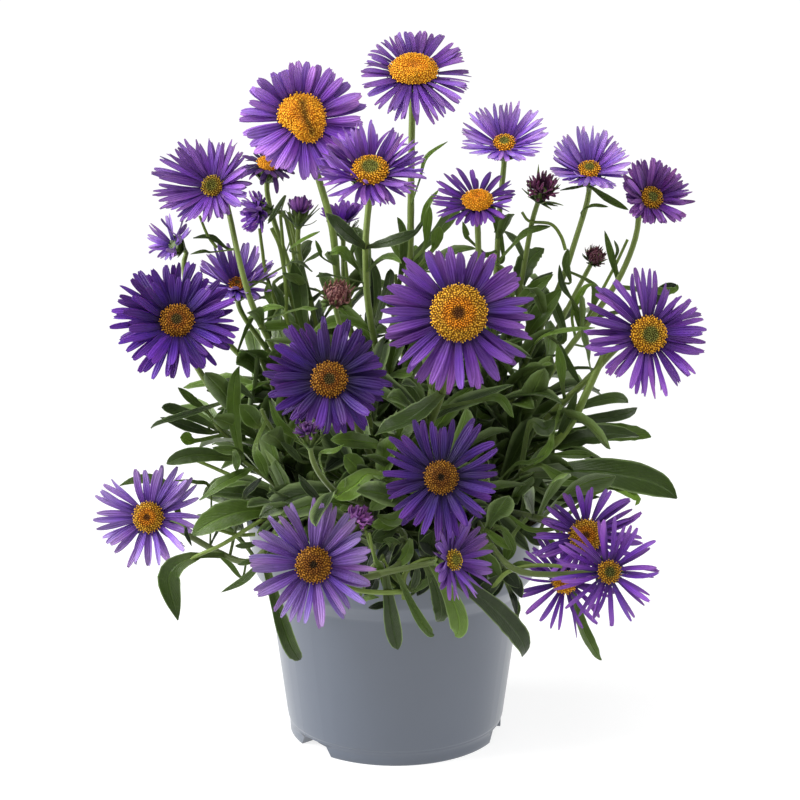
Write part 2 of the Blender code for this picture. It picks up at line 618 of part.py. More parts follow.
def make_soil():
    """Soil that fills the pot with a little room to spare, mounded and uneven, with a hole per crown."""
    side = inner_profile(FIT, SOIL_TOP)
    top = [(34.0, SOIL_TOP + SOIL_MOUND * 0.7)]
    rows = len(side)

    def bumps(row, k):
        if row < rows:
            return (0.0, 0.0)
        swell = math.sin(1.9 * k + row) + math.sin(0.8 * k + 2.0 * row)
        return (0.0, SOIL_SWELL * swell)

    points, faces = turned([*side, *top], POT_SIDES, closed_top=False, bumps=bumps)
    last = (rows + len(top) - 1) * POT_SIDES
    points.append((0.0, 0.0, SOIL_TOP + SOIL_MOUND))
    faces += [(last + k, last + (k + 1) % POT_SIDES, len(points) - 1) for k in range(POT_SIDES)]
    soil = make_object("soil", points, faces, (0.028, 0.019, 0.013), 0.95)
    holes = []
    for name, (x, y) in CROWNS.items():
        hole = turned([(HOLE_RADIUS, HOLE_BOTTOM), (HOLE_RADIUS, CROWN_TOP + 8.0)], HOLE_SIDES)
        holes.append(make_object(f"hole_{name}", np.array(hole[0]) + (x, y, 0), hole[1], None))
    cut(soil, [*notch_rooms("notch_clear", WALL + FIT), *holes])
    return soil


class Room:
    """What stands in the space so far, as search trees of (owner, tree)."""

    def __init__(self):
        self.taken = []

    def add(self, owner, shape):
        self.taken.append((owner, tree_of(shape)))

    def free(self, shape, skip=(), only=None):
        """Whether the shape meets nothing of the owners looked at."""
        tree = tree_of(shape)
        for owner, other in self.taken:
            if owner in skip or (only is not None and owner != only):
                continue
            if tree.overlap(other):
                return False
        return True


def tree_of(shape):
    """A search tree of a shape's points and faces."""
    points, faces = shape
    return BVHTree.FromPolygons([tuple(p) for p in points], [tuple(f) for f in faces])


def evaluated(item):
    """Points in millimetres and faces of an object with its modifiers."""
    bpy.context.view_layer.update()
    mesh = item.evaluated_get(bpy.context.evaluated_depsgraph_get()).to_mesh()
    mesh.calc_loop_triangles()
    points = [tuple(v.co / MM) for v in mesh.vertices]
    return points, [tuple(t.vertices) for t in mesh.loop_triangles]


def crown_plug(crown):
    """The woody crown that stands in its hole in the soil."""
    profile = [(HOLE_RADIUS - FIT - 0.05, HOLE_BOTTOM + FIT), (HOLE_RADIUS - FIT - 0.05, CROWN_TOP - 3.0),
               (CROWN_NECK, CROWN_TOP)]
    points, faces = turned(profile, HOLE_SIDES)
    return np.array(points) + (*CROWNS[crown], 0.0), faces


def stem_jobs():
    """Every stem to grow: key, crown, neck, end direction, points to pass, radii, and what swells at its end.

    The swelling is a list of (distance past the neck, radius): the cup under a bloom or a closed bud.
    """
    jobs = []
    for key, (centre, turn, lift, _, disc, _, _, _, crown, via) in {**BLOOMS, **TUFTS}.items():
        normal = facing(turn, lift)
        neck = np.array(centre, float) - normal * (HUB_STEP + FIT + CUP_DEPTH)
        size = 1.0 + 0.055 * disc
        swell = [(a * CUP_DEPTH, max(1.4, b * (disc - 0.3))) for a, b in CUP_SHAPE]
        jobs.append((key, crown, neck, normal, via, (size + 0.25, size - 0.1), swell))
    for key, (centre, turn, lift, radius, crown, via) in BUDS.items():
        normal = facing(turn, lift)
        swell = [(2.6 * radius * a, radius * b) for a, b in BUD_SHAPE]
        neck = np.array(centre, float) - normal * 1.3 * radius
        jobs.append((key, crown, neck, normal, via, (1.3, 1.0), swell))
    for number, (crown, top) in enumerate(SHOOTS):
        lean = unit(np.array(top, float) - (*CROWNS[crown], 60.0))
        jobs.append((f"s{number}", crown, np.array(top, float), lean, (), (1.35, 0.8), []))
    return jobs


def swollen(line, radii, normal, swell):
    """The stem's line and radii with what swells at its end."""
    neck = line[-1]
    line = np.vstack([line, *[neck + normal * away for away, _ in swell]])
    return line, [*radii, *[radius for _, radius in swell]]


def grow_stems(room, parts, lines):
    """Finds a clear route for each stem and adds its tube to its crown's parts."""
    jobs = stem_jobs()
    for key, crown, neck, normal, _, _, swell in jobs:
        if swell:
            head = tube(*swollen(np.array([neck - normal, neck]), (1.0, 1.0), normal, swell), THIN_SIDES)
            for owner, tree in room.taken:
                if tree_of(head).overlap(tree):
                    print("head", key, "meets", owner)
            room.add(f"{crown}/head{key}", head)
    order = {crown: [job[0] for job in jobs if job[1] == crown] for crown in CROWNS}
    for number, (key, crown, neck, normal, via, (low, high), swell) in enumerate(jobs):
        stations = STEM_STATIONS if swell else SHOOT_STATIONS
        sides = STEM_SIDES if swell and swell[-1][1] > THICK_DISC else THIN_SIDES
        toward = via[-1] if via else neck
        foot = stem_foot(crown, order[crown].index(key) % 3, 3, toward)
        skip = (f"{crown}/head{key}",)
        if key in BRANCHED:
            parent, share = BRANCHED[key]
            foot = along(lines[parent], (share,))[0]
            skip = (*skip, f"{crown}/{parent}")
        own = [owner for owner, _ in room.taken if owner.startswith(crown)]
        for attempt in range(STEM_TRIES):
            line = stem_route(foot, neck, normal, via, number, attempt, stations)
            radii = np.interp(np.linspace(0, 1, len(line)), (0, 1), (low, high))
            wide = tube(line, radii + CLEARANCE, sides)
            upper = tube(line[1:], radii[1:] + 0.3, sides)
            if room.free(wide, skip=own) and room.free(upper, skip=skip):
                break
        else:
            print("no clear route for stem", key)
        if attempt > 40:
            print("stem", key, "took", attempt)
        lines[key] = line
        room.add(f"{crown}/{key}", tube(line, radii, sides))
        parts[crown].append(tube(*swollen(line, radii, normal, swell), sides))


def grow_leaf(attempts, crown, host, room, parts):
    """Keeps the first attempt that is clear of the other nodes and, past its base, of its own."""
    stations = LEAF_STATIONS if attempts[0][3] > 11.0 else MIDDLE_STATIONS if attempts[0][3] > 8.0 else (0.5,)
    others = [owner for owner, _ in room.taken if owner.startswith(crown)]
    for leaf in attempts:
        wide = leaf_blade(leaf, 0.0, CLEARANCE, stations)
        outer = leaf_blade(leaf, 0.3, 0.25, stations)
        if room.free(wide, skip=others) and room.free(outer):
            shape = leaf_blade(leaf, 0.0, 0.0, stations)
            parts[crown].append(shape)
            room.add(f"{crown}/{host}", shape)
            return True
    return False


def nearest_on(lines, keys, place):
    """The point on these stems that lies nearest to a place, kept off the stems' ends."""
    best = None
    for key in keys:
        fine = along(lines[key], np.linspace(0.08, 0.93, 40))
        gap = np.linalg.norm(fine - place, axis=1)
        k = int(gap.argmin())
        if best is None or gap[k] < best[0]:
            best = (gap[k], fine[k])
    return best[1]


def key_leaf_attempts(base, middle, tip, width, root):
    """A leaf of the photo set on the nearest stem, then the same leaf moved a little."""
    base, middle, tip = (np.array(p, float) for p in (base, middle, tip))
    for shift in KEY_SHIFTS:
        shift = np.array(shift, float)
        ahead = unit(tip - base)
        up = unit(np.array((0, -0.35, 1.0)) - ahead * ahead.dot((0, -0.35, 1.0)))
        yield root, middle + shift * 0.6, tip + shift, width, up


def grow_leaves(room, parts, lines):
    """The leaves that the photo shows one by one, then leaves by rule up every stem and round every crown."""
    jobs = stem_jobs()
    missed = []
    for number, (crown, base, middle, tip, width) in enumerate(KEY_LEAVES):
        keys = [job[0] for job in jobs if job[1] == crown]
        root = nearest_on(lines, keys, np.array(base, float))
        attempts = list(key_leaf_attempts(base, middle, tip, width, root))
        if not grow_leaf(attempts, crown, f"leaf{number}", room, parts):
            missed.append(number)
    print("key leaves missed:", missed)
    kept = 0
    for number, (key, crown, *_) in enumerate(jobs):
        for attempts in grown_leaves(number, lines[key]):
            kept += bool(attempts) and grow_leaf(attempts, crown, f"{key}leaf", room, parts)
    print("leaves by rule:", kept)


def fuse(name, shapes, colour):
    """One Boolean union of the shapes on a collection, applied, with the collection's objects removed."""
    item = make_object(name, *shapes[0], colour, 0.55, smooth=False)
    group = bpy.data.collections.new(f"{name}_pieces")
    bpy.context.scene.collection.children.link(group)
    for number, (points, faces) in enumerate(shapes[1:]):
        piece = outward(make_object(f"{name}_{number}", points, faces, None, smooth=False))
        bpy.context.scene.collection.objects.unlink(piece)
        group.objects.link(piece)
    union = item.modifiers.new("union", "BOOLEAN")
    union.operation = "UNION"
    union.operand_type = "COLLECTION"
    union.collection = group
    union.solver = "MANIFOLD"
    bpy.context.view_layer.update()
    fused = bpy.data.meshes.new_from_object(item.evaluated_get(bpy.context.evaluated_depsgraph_get()))
    item.modifiers.remove(union)
    for piece in list(group.objects):
        bpy.data.objects.remove(piece)
    bpy.data.collections.remove(group)
    item.data = fused
    keep_main_body(item)
    print(name, len(item.data.polygons), "faces from", len(shapes), "pieces")
    return item


def keep_main_body(item):
    """Drops loose scraps and the shells of sealed hollows: the body with the most faces stays."""
    mesh = bmesh.new()
    mesh.from_mesh(item.data)
    bmesh.ops.triangulate(mesh, faces=mesh.faces)
    bmesh.ops.dissolve_degenerate(mesh, dist=2e-6, edges=mesh.edges)
    bmesh.ops.dissolve_limit(mesh, angle_limit=FLAT, verts=mesh.verts, edges=mesh.edges)
    bmesh.ops.triangulate(mesh, faces=mesh.faces)
    mesh.faces.ensure_lookup_table()
    seen, bodies = set(), []
    for face in mesh.faces:
        if face.index in seen:
            continue
        body, stack = [], [face]
        seen.add(face.index)
        while stack:
            current = stack.pop()
            body.append(current)
            for edge in current.edges:
                for other in edge.link_faces:
                    if other.index not in seen:
                        seen.add(other.index)
                        stack.append(other)
        bodies.append(body)
    bodies.sort(key=len, reverse=True)
    if len(bodies) > 1:
        print(item.name, "dropped bodies of", [len(b) for b in bodies[1:]], "faces")
    loose = [face for body in bodies[1:] for face in body]
    bmesh.ops.delete(mesh, geom=loose, context="FACES")
    mesh.to_mesh(item.data)
    mesh.free()
    item.data.shade_smooth()
    item.data.set_sharp_from_angle(angle=math.radians(35))


def make_blooms(room):
    """Rays and disc of each bloom, and the petals of the opening buds, as nodes of their own."""
    for key, (centre, turn, lift, reach, disc, rise, pairs, tone, _, _) in {**BLOOMS, **TUFTS}.items():
        normal = facing(turn, lift)
        points, faces = ray_ring(key, reach, disc, rise, pairs)
        points = placed(points, centre, normal)
        name = f"bloom_{key}_rays" if key in BLOOMS else f"opening_{key}_petals"
        for owner, tree in room.taken:
            if tree_of((points, faces)).overlap(tree):
                print(name, "meets", owner)
        make_object(name, points, faces, TONES[tone], 0.65)
        room.add(name, (points, faces))
        if key in NO_DISC or key in TUFTS:
            continue
        points, faces = disc_dome(disc)
        points = placed(points, centre, normal)
        make_object(f"bloom_{key}_disc", points, faces, (0.62, 0.26, 0.015), 0.8)
        room.add(f"bloom_{key}_disc", (points, faces))


def main():
    for old in list(bpy.data.objects):
        bpy.data.objects.remove(old)
    room = Room()
    pot = make_pot()
    soil = make_soil()
    room.add("pot", evaluated(pot))
    room.add("soil", evaluated(soil))
    make_blooms(room)
    parts = {crown: [crown_plug(crown)] for crown in CROWNS}
    for crown in CROWNS:
        room.add(f"{crown}/crown", parts[crown][0])
    lines = {}
    grow_stems(room, parts, lines)
    grow_leaves(room, parts, lines)
    for crown in CROWNS:
        fuse(crown, parts[crown], (0.075, 0.135, 0.040))


main()
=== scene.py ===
# %% [markdown]
# # A potted alpine aster, one surface at a time
#
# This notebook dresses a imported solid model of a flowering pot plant. The solid model has the pot, the soil,
# five leafy crowns and every bloom as plain faceted solids. Each cell below swaps some of them for finer
# surfaces worked out with numpy, and every new piece stays where the solid that it stands for is.
# The first step loads the solid model as a fixed frame, and keeps the box that it fills.

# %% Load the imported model
import math

import bpy
import numpy as np
from mathutils.kdtree import KDTree
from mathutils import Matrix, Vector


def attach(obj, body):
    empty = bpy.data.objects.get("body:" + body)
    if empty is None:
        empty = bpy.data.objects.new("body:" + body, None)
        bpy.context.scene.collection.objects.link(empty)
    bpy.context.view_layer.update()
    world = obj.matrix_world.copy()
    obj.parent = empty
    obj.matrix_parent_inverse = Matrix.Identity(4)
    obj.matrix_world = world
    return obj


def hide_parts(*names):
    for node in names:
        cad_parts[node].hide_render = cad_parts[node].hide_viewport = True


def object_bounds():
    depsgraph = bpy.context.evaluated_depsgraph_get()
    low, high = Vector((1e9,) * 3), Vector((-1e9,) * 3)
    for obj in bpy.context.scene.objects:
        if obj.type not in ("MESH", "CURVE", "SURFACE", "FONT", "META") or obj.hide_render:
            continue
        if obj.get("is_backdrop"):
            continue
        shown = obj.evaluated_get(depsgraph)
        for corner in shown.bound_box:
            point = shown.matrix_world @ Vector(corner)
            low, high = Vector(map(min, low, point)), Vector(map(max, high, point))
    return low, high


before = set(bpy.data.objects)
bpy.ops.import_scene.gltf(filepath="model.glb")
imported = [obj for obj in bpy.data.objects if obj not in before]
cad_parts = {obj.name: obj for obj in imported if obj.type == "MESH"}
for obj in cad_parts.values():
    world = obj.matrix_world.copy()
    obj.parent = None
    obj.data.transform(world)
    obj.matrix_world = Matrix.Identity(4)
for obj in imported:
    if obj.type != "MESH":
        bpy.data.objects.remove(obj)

solid_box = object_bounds()
MM = 0.001
SEED = 20
print("nodes:", len(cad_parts), "box:", [[round(v, 4) for v in corner] for corner in solid_box])

# %% [markdown]
# ## The picture's viewpoint
#
# The pot's rim and foot show as ellipses in the photograph, and their shapes and places give the camera:
# about 60 cm in front of the pot, 25 cm up, and tilted down by about eleven degrees, with a long lens.
# A camera placed by eye would do, but one worked out from the ellipses makes every bloom land where it was
# seen.

# %% Camera
TILT = 10.758
camera_data = bpy.data.cameras.new("camera")
camera_data.sensor_width = 36.0
camera_data.lens = 70.17
camera_data.clip_start = 0.01
camera = bpy.data.objects.new("camera", camera_data)
camera.location = (0.00183, -0.6059, 0.25024)
camera.rotation_euler = (math.radians(90.0 - TILT), 0.0, 0.0)
bpy.context.scene.collection.objects.link(camera)
bpy.context.scene.camera = camera
bpy.context.scene.view_settings.view_transform = "Standard"
VIEW = np.array(camera.location) / MM
VIEW_UP = np.array((0.0, math.sin(math.radians(TILT)), math.cos(math.radians(TILT))))
VIEW_AHEAD = np.array((0.0, VIEW_UP[2], -VIEW_UP[1]))


def on_picture(points):
    """Where points in millimetres show: how far right and up of the camera's way, over how far ahead."""
    away = np.asarray(points, float) - VIEW
    ahead = away @ VIEW_AHEAD
    return np.stack([away[..., 0] / ahead, away @ VIEW_UP / ahead], axis=-1)


print("camera height:", camera.location.z, "m")

# %% [markdown]
# ## Floor, light and air
#
# The plant was photographed on white, between soft lamps. A pale glowing floor like a light table and a white
# sky give the bare background, one large lamp on the left makes that side of the pot the brightest, a weaker
# one on the right lifts the other edge, and one overhead lights the petals' upper sides. The sky looks white
# to the camera but lights the plant less than that, or the shade between the leaves would be lost.

# %% Floor
WHITE = (1.0, 1.0, 1.0, 1.0)
FLOOR_REACH, FLOOR_POINTS = 0.6, 64
FLOOR_GREY, FLOOR_GLOW = 0.32, 0.8


def turns(amount):
    """Angles in even steps round a circle."""
    return np.linspace(0, 2 * math.pi, amount, endpoint=False)


def polar(radius, turn, height):
    """Points (radius * cos turn, radius * sin turn, height), for arrays of any shapes that fit together."""
    return np.stack(np.broadcast_arrays(radius * np.cos(turn), radius * np.sin(turn), height), axis=-1)


def set_inputs(node, values):
    """Sets a node's inputs from a table of their names and values."""
    for name, value in values.items():
        node.inputs[name].default_value = value


def make_floor():
    """A flat round floor at the height of the pot's underside, which glows enough to look white."""
    mesh = bpy.data.meshes.new("floor")
    mesh.from_pydata(polar(FLOOR_REACH, turns(FLOOR_POINTS), 0.0).tolist(), [], [tuple(range(FLOOR_POINTS))])
    floor = bpy.data.objects.new("floor", mesh)
    bpy.context.scene.collection.objects.link(floor)
    material = bpy.data.materials.new("white_floor")
    material.use_nodes = True
    set_inputs(material.node_tree.nodes["Principled BSDF"], {
        "Base Color": (FLOOR_GREY, FLOOR_GREY, FLOOR_GREY, 1.0), "Roughness": 0.9,
        "Emission Color": WHITE, "Emission Strength": FLOOR_GLOW})
    mesh.materials.append(material)
    return floor


make_floor()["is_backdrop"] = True
print("floor:", 2 * FLOOR_REACH, "m across")

# %% Sky and lamps
SKY_SEEN, SKY_LIGHT = 1.05, 0.25
# Place, the point that it faces, size in metres and power in watts
LAMPS = {
    "lamp_left": ((-1.2, -0.12, 0.6), (0.0, 0.0, 0.12), 0.9, 27.0),
    "lamp_right": ((1.2, -0.1, 0.5), (0.0, 0.0, 0.12), 0.7, 7.0),
    "lamp_above": ((-0.15, -0.6, 1.2), (0.0, 0.0, 0.1), 0.8, 9.0),
}


def make_lamp(name, place, target, size, power):
    """A square soft lamp at a place, turned to face the target."""
    data = bpy.data.lights.new(name, "AREA")
    data.size = size
    data.energy = power
    lamp = bpy.data.objects.new(name, data)
    place, target = np.array(place), np.array(target)
    ahead = (target - place) / np.linalg.norm(target - place)
    lamp.location = place
    lamp.rotation_euler = (math.acos(-ahead[2]), 0.0, math.atan2(ahead[1], ahead[0]) - math.pi / 2)
    bpy.context.scene.collection.objects.link(lamp)


def make_sky(seen, cast):
    """A white sky that the camera sees at one strength and that lights the plant at another."""
    world = bpy.data.worlds.new("sky")
    world.use_nodes = True
    nodes, links = world.node_tree.nodes, world.node_tree.links
    ray = nodes.new("ShaderNodeLightPath")
    joined = nodes.new("ShaderNodeMixShader")
    links.new(ray.outputs["Is Camera Ray"], joined.inputs["Fac"])
    backgrounds = (nodes["Background"], nodes.new("ShaderNodeBackground"))
    for number, (node, strength) in enumerate(zip(backgrounds, (cast, seen)), start=1):
        set_inputs(node, {"Color": WHITE, "Strength": strength})
        links.new(node.outputs[0], joined.inputs[number])
    links.new(joined.outputs[0], nodes["World Output"].inputs["Surface"])
    bpy.context.scene.world = world


make_sky(SKY_SEEN, SKY_LIGHT)
for name, row in LAMPS.items():
    make_lamp(name, *row)

# %% [markdown]
# ## Surfaces from arrays
#
# Petals, leaves, stems and florets are all the same kind of shape: a closed ring of points carried along
# a path, with a cap at each end. So one function turns an array of rings into faces, for any number of
# shapes at a time, and one function turns the arrays into a mesh. Each point also carries a tint and a pair
# (across, along), which the materials read to draw veins and grooves that follow the surface.

# %% Colours and directions
UP = np.array((0, 0, 1.0))


def srgb(red, green, blue):
    """A colour picked on screen, 0 to 255, as linear light."""
    value = np.array((red, green, blue), float) / 255.0
    return np.where(value <= 0.04045, value / 12.92, ((value + 0.055) / 1.055) ** 2.4)


def mix(low, high, share):
    """A blend of two values or colours: low * (1 - share) + high * share."""
    return np.asarray(low) * (1 - share) + np.asarray(high) * share


def unit(vectors):
    """Each vector divided by its own length."""
    vectors = np.asarray(vectors, float)
    return vectors / np.maximum(np.linalg.norm(vectors, axis=-1, keepdims=True), 1e-12)


print("a grey of 128 on screen is", round(float(srgb(128, 128, 128)[0]), 3), "in linear light")

# %% Rings into faces
def skin(rings):
    """Faces of closed shapes given as (shapes, rings, points in a ring, 3).

    Point (i, j, k) joins (i, j, k+1) and (i, j+1, k), and the first and last ring are capped.
    """
    shapes, rows, around = rings.shape[:3]
    ids = np.arange(shapes * rows * around).reshape(shapes, rows, around)
    after = np.roll(ids, -1, axis=2)
    sides = np.stack([ids[:, :-1], after[:, :-1], after[:, 1:], ids[:, 1:]], axis=-1).reshape(-1, 4)
    caps = np.concatenate([ids[:, 0, ::-1], ids[:, -1]])
    return [sides, caps]


def shape_of(rings, tint, across=0.5, along=0.5):
    """A shape ready to join: its points, faces, tints and (across, along) pairs."""
    whole = rings.shape[:3]
    tint = np.broadcast_to(tint, (*whole, 3)).reshape(-1, 3)
    guide = np.stack([np.broadcast_to(across, whole), np.broadcast_to(along, whole)], axis=-1)
    return rings.reshape(-1, 3), skin(rings), tint, guide.reshape(-1, 2)


print("a tube of 5 rings of 8 points has", sum(map(len, skin(np.zeros((1, 5, 8, 3))))), "faces")

# %% Shapes into a piece
SHARP_ANGLE = 55.0
count = {"triangles": 0, "largest": 0}


def make_piece(name, shapes, finish):
    """One mesh of several shapes, in millimetres, with the attributes that the finish reads."""
    points, tint, guide = (np.concatenate([shape[k] for shape in shapes]) for k in (0, 2, 3))
    starts = np.cumsum([0] + [len(shape[0]) for shape in shapes])
    faces = [group + start for shape, start in zip(shapes, starts) for group in shape[1]]
    sizes = np.concatenate([np.full(len(group), group.shape[1]) for group in faces])
    corners = np.concatenate([group.ravel() for group in faces])
    mesh = bpy.data.meshes.new(name)
    mesh.vertices.add(len(points))
    mesh.vertices.foreach_set("co", (points * MM).ravel())
    mesh.loops.add(len(corners))
    mesh.loops.foreach_set("vertex_index", corners)
    mesh.polygons.add(len(sizes))
    mesh.polygons.foreach_set("loop_start", np.cumsum(sizes) - sizes)
    mesh.update(calc_edges=True)
    layer = mesh.color_attributes.new("tint", "FLOAT_COLOR", "POINT")
    layer.data.foreach_set("color", np.column_stack([tint, np.ones(len(tint))]).ravel())
    mesh.uv_layers.new(name="blade").data.foreach_set("uv", guide[corners].ravel())
    mesh.shade_smooth()
    mesh.set_sharp_from_angle(angle=math.radians(SHARP_ANGLE))
    mesh.materials.append(finish)
    piece = bpy.data.objects.new(name, mesh)
    bpy.context.scene.collection.objects.link(piece)
    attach(piece, "root")
    triangles = int((sizes - 2).sum())
    count["triangles"] += triangles
    count["largest"] = max(count["largest"], triangles)
    return piece


print("faces that meet at more than", SHARP_ANGLE, "degrees keep a sharp edge")

# %% [markdown]
# ## Finishes
#
# The pot is matte moulded polypropylene, which is smooth with a soft gloss and a faint orange peel. Leaves
# have a pale midrib, thin side veins and a down of fine hairs that softens their shine. Petals carry two
# lengthwise grooves and fine streaks, and look velvety. All of it is worked out by nodes from three
# things: the place on the object, the (across, along) pair of the surface, and the tint of each point.

# %% Node helpers
def new_finish(name, values):
    """A Principled material with these values, and its node tree."""
    material = bpy.data.materials.new(name)
    material.use_nodes = True
    set_inputs(material.node_tree.nodes["Principled BSDF"], values)
    return material, material.node_tree


def calc(tree, operation, *values):
    """One step of arithmetic on values, each a number or a socket."""
    node = tree.nodes.new("ShaderNodeMath")
    node.operation = operation
    for socket, value in zip(node.inputs, values):
        if isinstance(value, (int, float)):
            socket.default_value = value
        else:
            tree.links.new(value, socket)
    return node.outputs[0]


def weighted(tree, start, *parts):
    """A number plus sockets times their weights, by steps of multiply and add."""
    total = start
    for socket, weight in parts:
        total = calc(tree, "MULTIPLY_ADD", socket, weight, total)
    return total


def blade_pair(tree):
    """The surface's (across, along) pair as a socket."""
    guide = tree.nodes.new("ShaderNodeUVMap")
    guide.uv_map = "blade"
    return guide.outputs[0]


def across_along(tree):
    """The blade's two guide values as sockets."""
    split = tree.nodes.new("ShaderNodeSeparateXYZ")
    tree.links.new(blade_pair(tree), split.inputs[0])
    return split.outputs[0], split.outputs[1]


def noise(tree, scale, detail=3.0, stretch=None):
    """Noise on the place on the object, between 0 and 1, or on the blade's own (across, along) pair.

    On a blade, the third coordinate drifts with the place, so that no two blades have the same streaks.
    """
    node = tree.nodes.new("ShaderNodeTexNoise")
    set_inputs(node, {"Scale": scale, "Detail": detail})
    if stretch is None:
        place = tree.nodes.new("ShaderNodeTexCoord").outputs["Object"]
    else:
        mapping = tree.nodes.new("ShaderNodeMapping")
        mapping.inputs["Scale"].default_value = (*stretch, 1.0)
        tree.links.new(blade_pair(tree), mapping.inputs["Vector"])
        drift = tree.nodes.new("ShaderNodeCombineXYZ")
        tree.links.new(calc(tree, "MULTIPLY", noise(tree, 90.0, 1.0), 12.0), drift.inputs[2])
        joined = tree.nodes.new("ShaderNodeVectorMath")
        tree.links.new(mapping.outputs[0], joined.inputs[0])
        tree.links.new(drift.outputs[0], joined.inputs[1])
        place = joined.outputs[0]
    tree.links.new(place, node.inputs["Vector"])
    return node.outputs["Fac"]


def tint_and_bump(tree, factor, height, depth):
    """The point's tint times a factor as the colour, and a height as bump with its depth in metres."""
    shader = tree.nodes["Principled BSDF"]
    tint = tree.nodes.new("ShaderNodeAttribute")
    tint.attribute_name = "tint"
    product = tree.nodes.new("ShaderNodeVectorMath")
    product.operation = "SCALE"
    tree.links.new(tint.outputs["Color"], product.inputs[0])
    tree.links.new(factor, product.inputs["Scale"])
    tree.links.new(product.outputs[0], shader.inputs["Base Color"])
    bump = tree.nodes.new("ShaderNodeBump")
    set_inputs(bump, {"Distance": depth, "Strength": 1.0})
    tree.links.new(height, bump.inputs["Height"])
    tree.links.new(bump.outputs[0], shader.inputs["Normal"])


print("node helpers:", [helper.__name__ for helper in (calc, weighted, noise, tint_and_bump)])

# %% Petal and leaf finishes
def make_petal_finish():
    """Streaks along the petal, and two grooves: height is a wave of two valleys across it."""
    material, tree = new_finish("petal_velvet", {
        "Roughness": 0.55, "Specular IOR Level": 0.3, "Sheen Weight": 0.08, "Sheen Roughness": 0.4,
        "Subsurface Weight": 0.12, "Subsurface Radius": (0.5, 0.25, 0.8), "Subsurface Scale": 0.001})
    streaks = noise(tree, 1.0, 2.0, stretch=(9.0, 1.2))
    patches = noise(tree, 260.0)
    across, _ = across_along(tree)
    wave = calc(tree, "COSINE", calc(tree, "MULTIPLY", across, 6 * math.pi))
    tint_and_bump(tree, weighted(tree, 0.40, (streaks, 0.95), (patches, 0.26)),
                  weighted(tree, 0.0, (wave, -0.5), (streaks, 1.0)), 0.00016)
    return material


def make_leaf_finish():
    """A pale midrib where across is near the middle, side veins that slant forward, and fine mottling."""
    material, tree = new_finish("leaf_down", {
        "Roughness": 0.45, "Specular IOR Level": 0.36, "Sheen Weight": 0.06, "Sheen Roughness": 0.4,
        "Subsurface Weight": 0.08, "Subsurface Radius": (0.3, 0.6, 0.15), "Subsurface Scale": 0.001})
    across, along = across_along(tree)
    off = calc(tree, "ABSOLUTE", calc(tree, "SUBTRACT", across, 0.5))
    rib = calc(tree, "SUBTRACT", 1.0, calc(tree, "MINIMUM", calc(tree, "MULTIPLY", off, 16.0), 1.0))
    slant = calc(tree, "COSINE", weighted(tree, 0.0, (along, 40.0), (off, -30.0)))
    vein = calc(tree, "POWER", calc(tree, "ABSOLUTE", slant), 12.0)
    mottle, broad = noise(tree, 420.0), noise(tree, 60.0, 2.0)
    tint_and_bump(tree, weighted(tree, 0.37, (mottle, 0.4), (broad, 0.8), (rib, 0.5), (vein, 0.04)),
                  weighted(tree, 0.0, (rib, -1.0), (vein, -0.16), (mottle, 1.0)), 0.00025)
    return material


petal_finish, leaf_finish = make_petal_finish(), make_leaf_finish()
print("blade finishes:", petal_finish.name, leaf_finish.name)

# %% Stem, floret, soil and pot finishes
def make_mottled_finish(name, scale, spread, depth, values):
    """The point's tint, mottled by noise on the place on the object, with bump from the same noise."""
    material, tree = new_finish(name, values)
    mottle = noise(tree, scale, 4.0)
    tint_and_bump(tree, weighted(tree, 1.0 - spread / 2, (mottle, spread)), mottle, depth)
    return material


# Scale of the noise, how far it spreads the tint, the depth of its bump in metres, and the shader's values
stem_finish, floret_finish, soil_finish, pot_finish = (make_mottled_finish(*row) for row in (
    ("stem_down", 700.0, 0.35, 0.00020, {"Roughness": 0.6, "Sheen Weight": 0.5, "Sheen Roughness": 0.4}),
    ("floret_wax", 900.0, 0.35, 0.00010, {"Roughness": 0.7, "Specular IOR Level": 0.2}),
    ("peat_crumb", 380.0, 1.1, 0.0012, {"Roughness": 0.95}),
    ("pot_plastic", 90.0, 0.05, 0.00005, {"Roughness": 0.36, "Specular IOR Level": 0.75, "Coat Weight": 0.5,
                                          "Coat Roughness": 0.28}),
))
print("finishes:", sorted(m.name for m in bpy.data.materials if m.users))

# %% [markdown]
# ## The pot
#
# A nursery pot is moulded in one piece: a tapering wall, a step near the foot that stiffens it, a flared band
# under the rim, three notches in the foot for water to run out, and a base with drain holes. It could be
# carved with Booleans. Here it is one grid of angle by profile instead: the profile runs up the outside, over
# the rounded lip, and down the inside, and the grid's points near a notch are pushed in to its back wall.

# %% Pot numbers and profile
# Radius and height where the plain wall ends, where the band under the rim starts, and of the rim
BODY, BAND, RIM = (50.9, 60.5), (56.2, 67.0), (60.0, 91.1)
WALL = 1.3
NOTCH_ANGLES = (-47.5, 72.5, 192.5)
NOTCH_WIDTH, NOTCH_HEIGHT, NOTCH_INNER = 15.0, 4.6, 37.0
# How much wider half a notch is at the floor, and how many degrees beside its middle have its own columns
NOTCH_FLARE, NOTCH_CLEAR = 1.4, 13.5
NOTCH_SHARES = (-1.02, -1.0, -0.5, 0.0, 0.5, 1.0, 1.02)
POT_AROUND = 240


def rounded(corners, radius, steps=4):
    """A profile whose inner corners are replaced by short curves: each point is a quadratic blend of the
    points one radius before and after the corner."""
    corners = np.asarray(corners, float)
    parts = [corners[:1]]
    t = np.linspace(0, 1, steps)[:, None]
    for before, corner, after in zip(corners[:-2], corners[1:-1], corners[2:]):
        start = corner + unit(before - corner) * min(radius, 0.45 * np.linalg.norm(before - corner))
        end = corner + unit(after - corner) * min(radius, 0.45 * np.linalg.norm(after - corner))
        parts.append((1 - t) ** 2 * start + 2 * t * (1 - t) * corner + t**2 * end)
    return np.vstack(parts + [corners[-1:]])


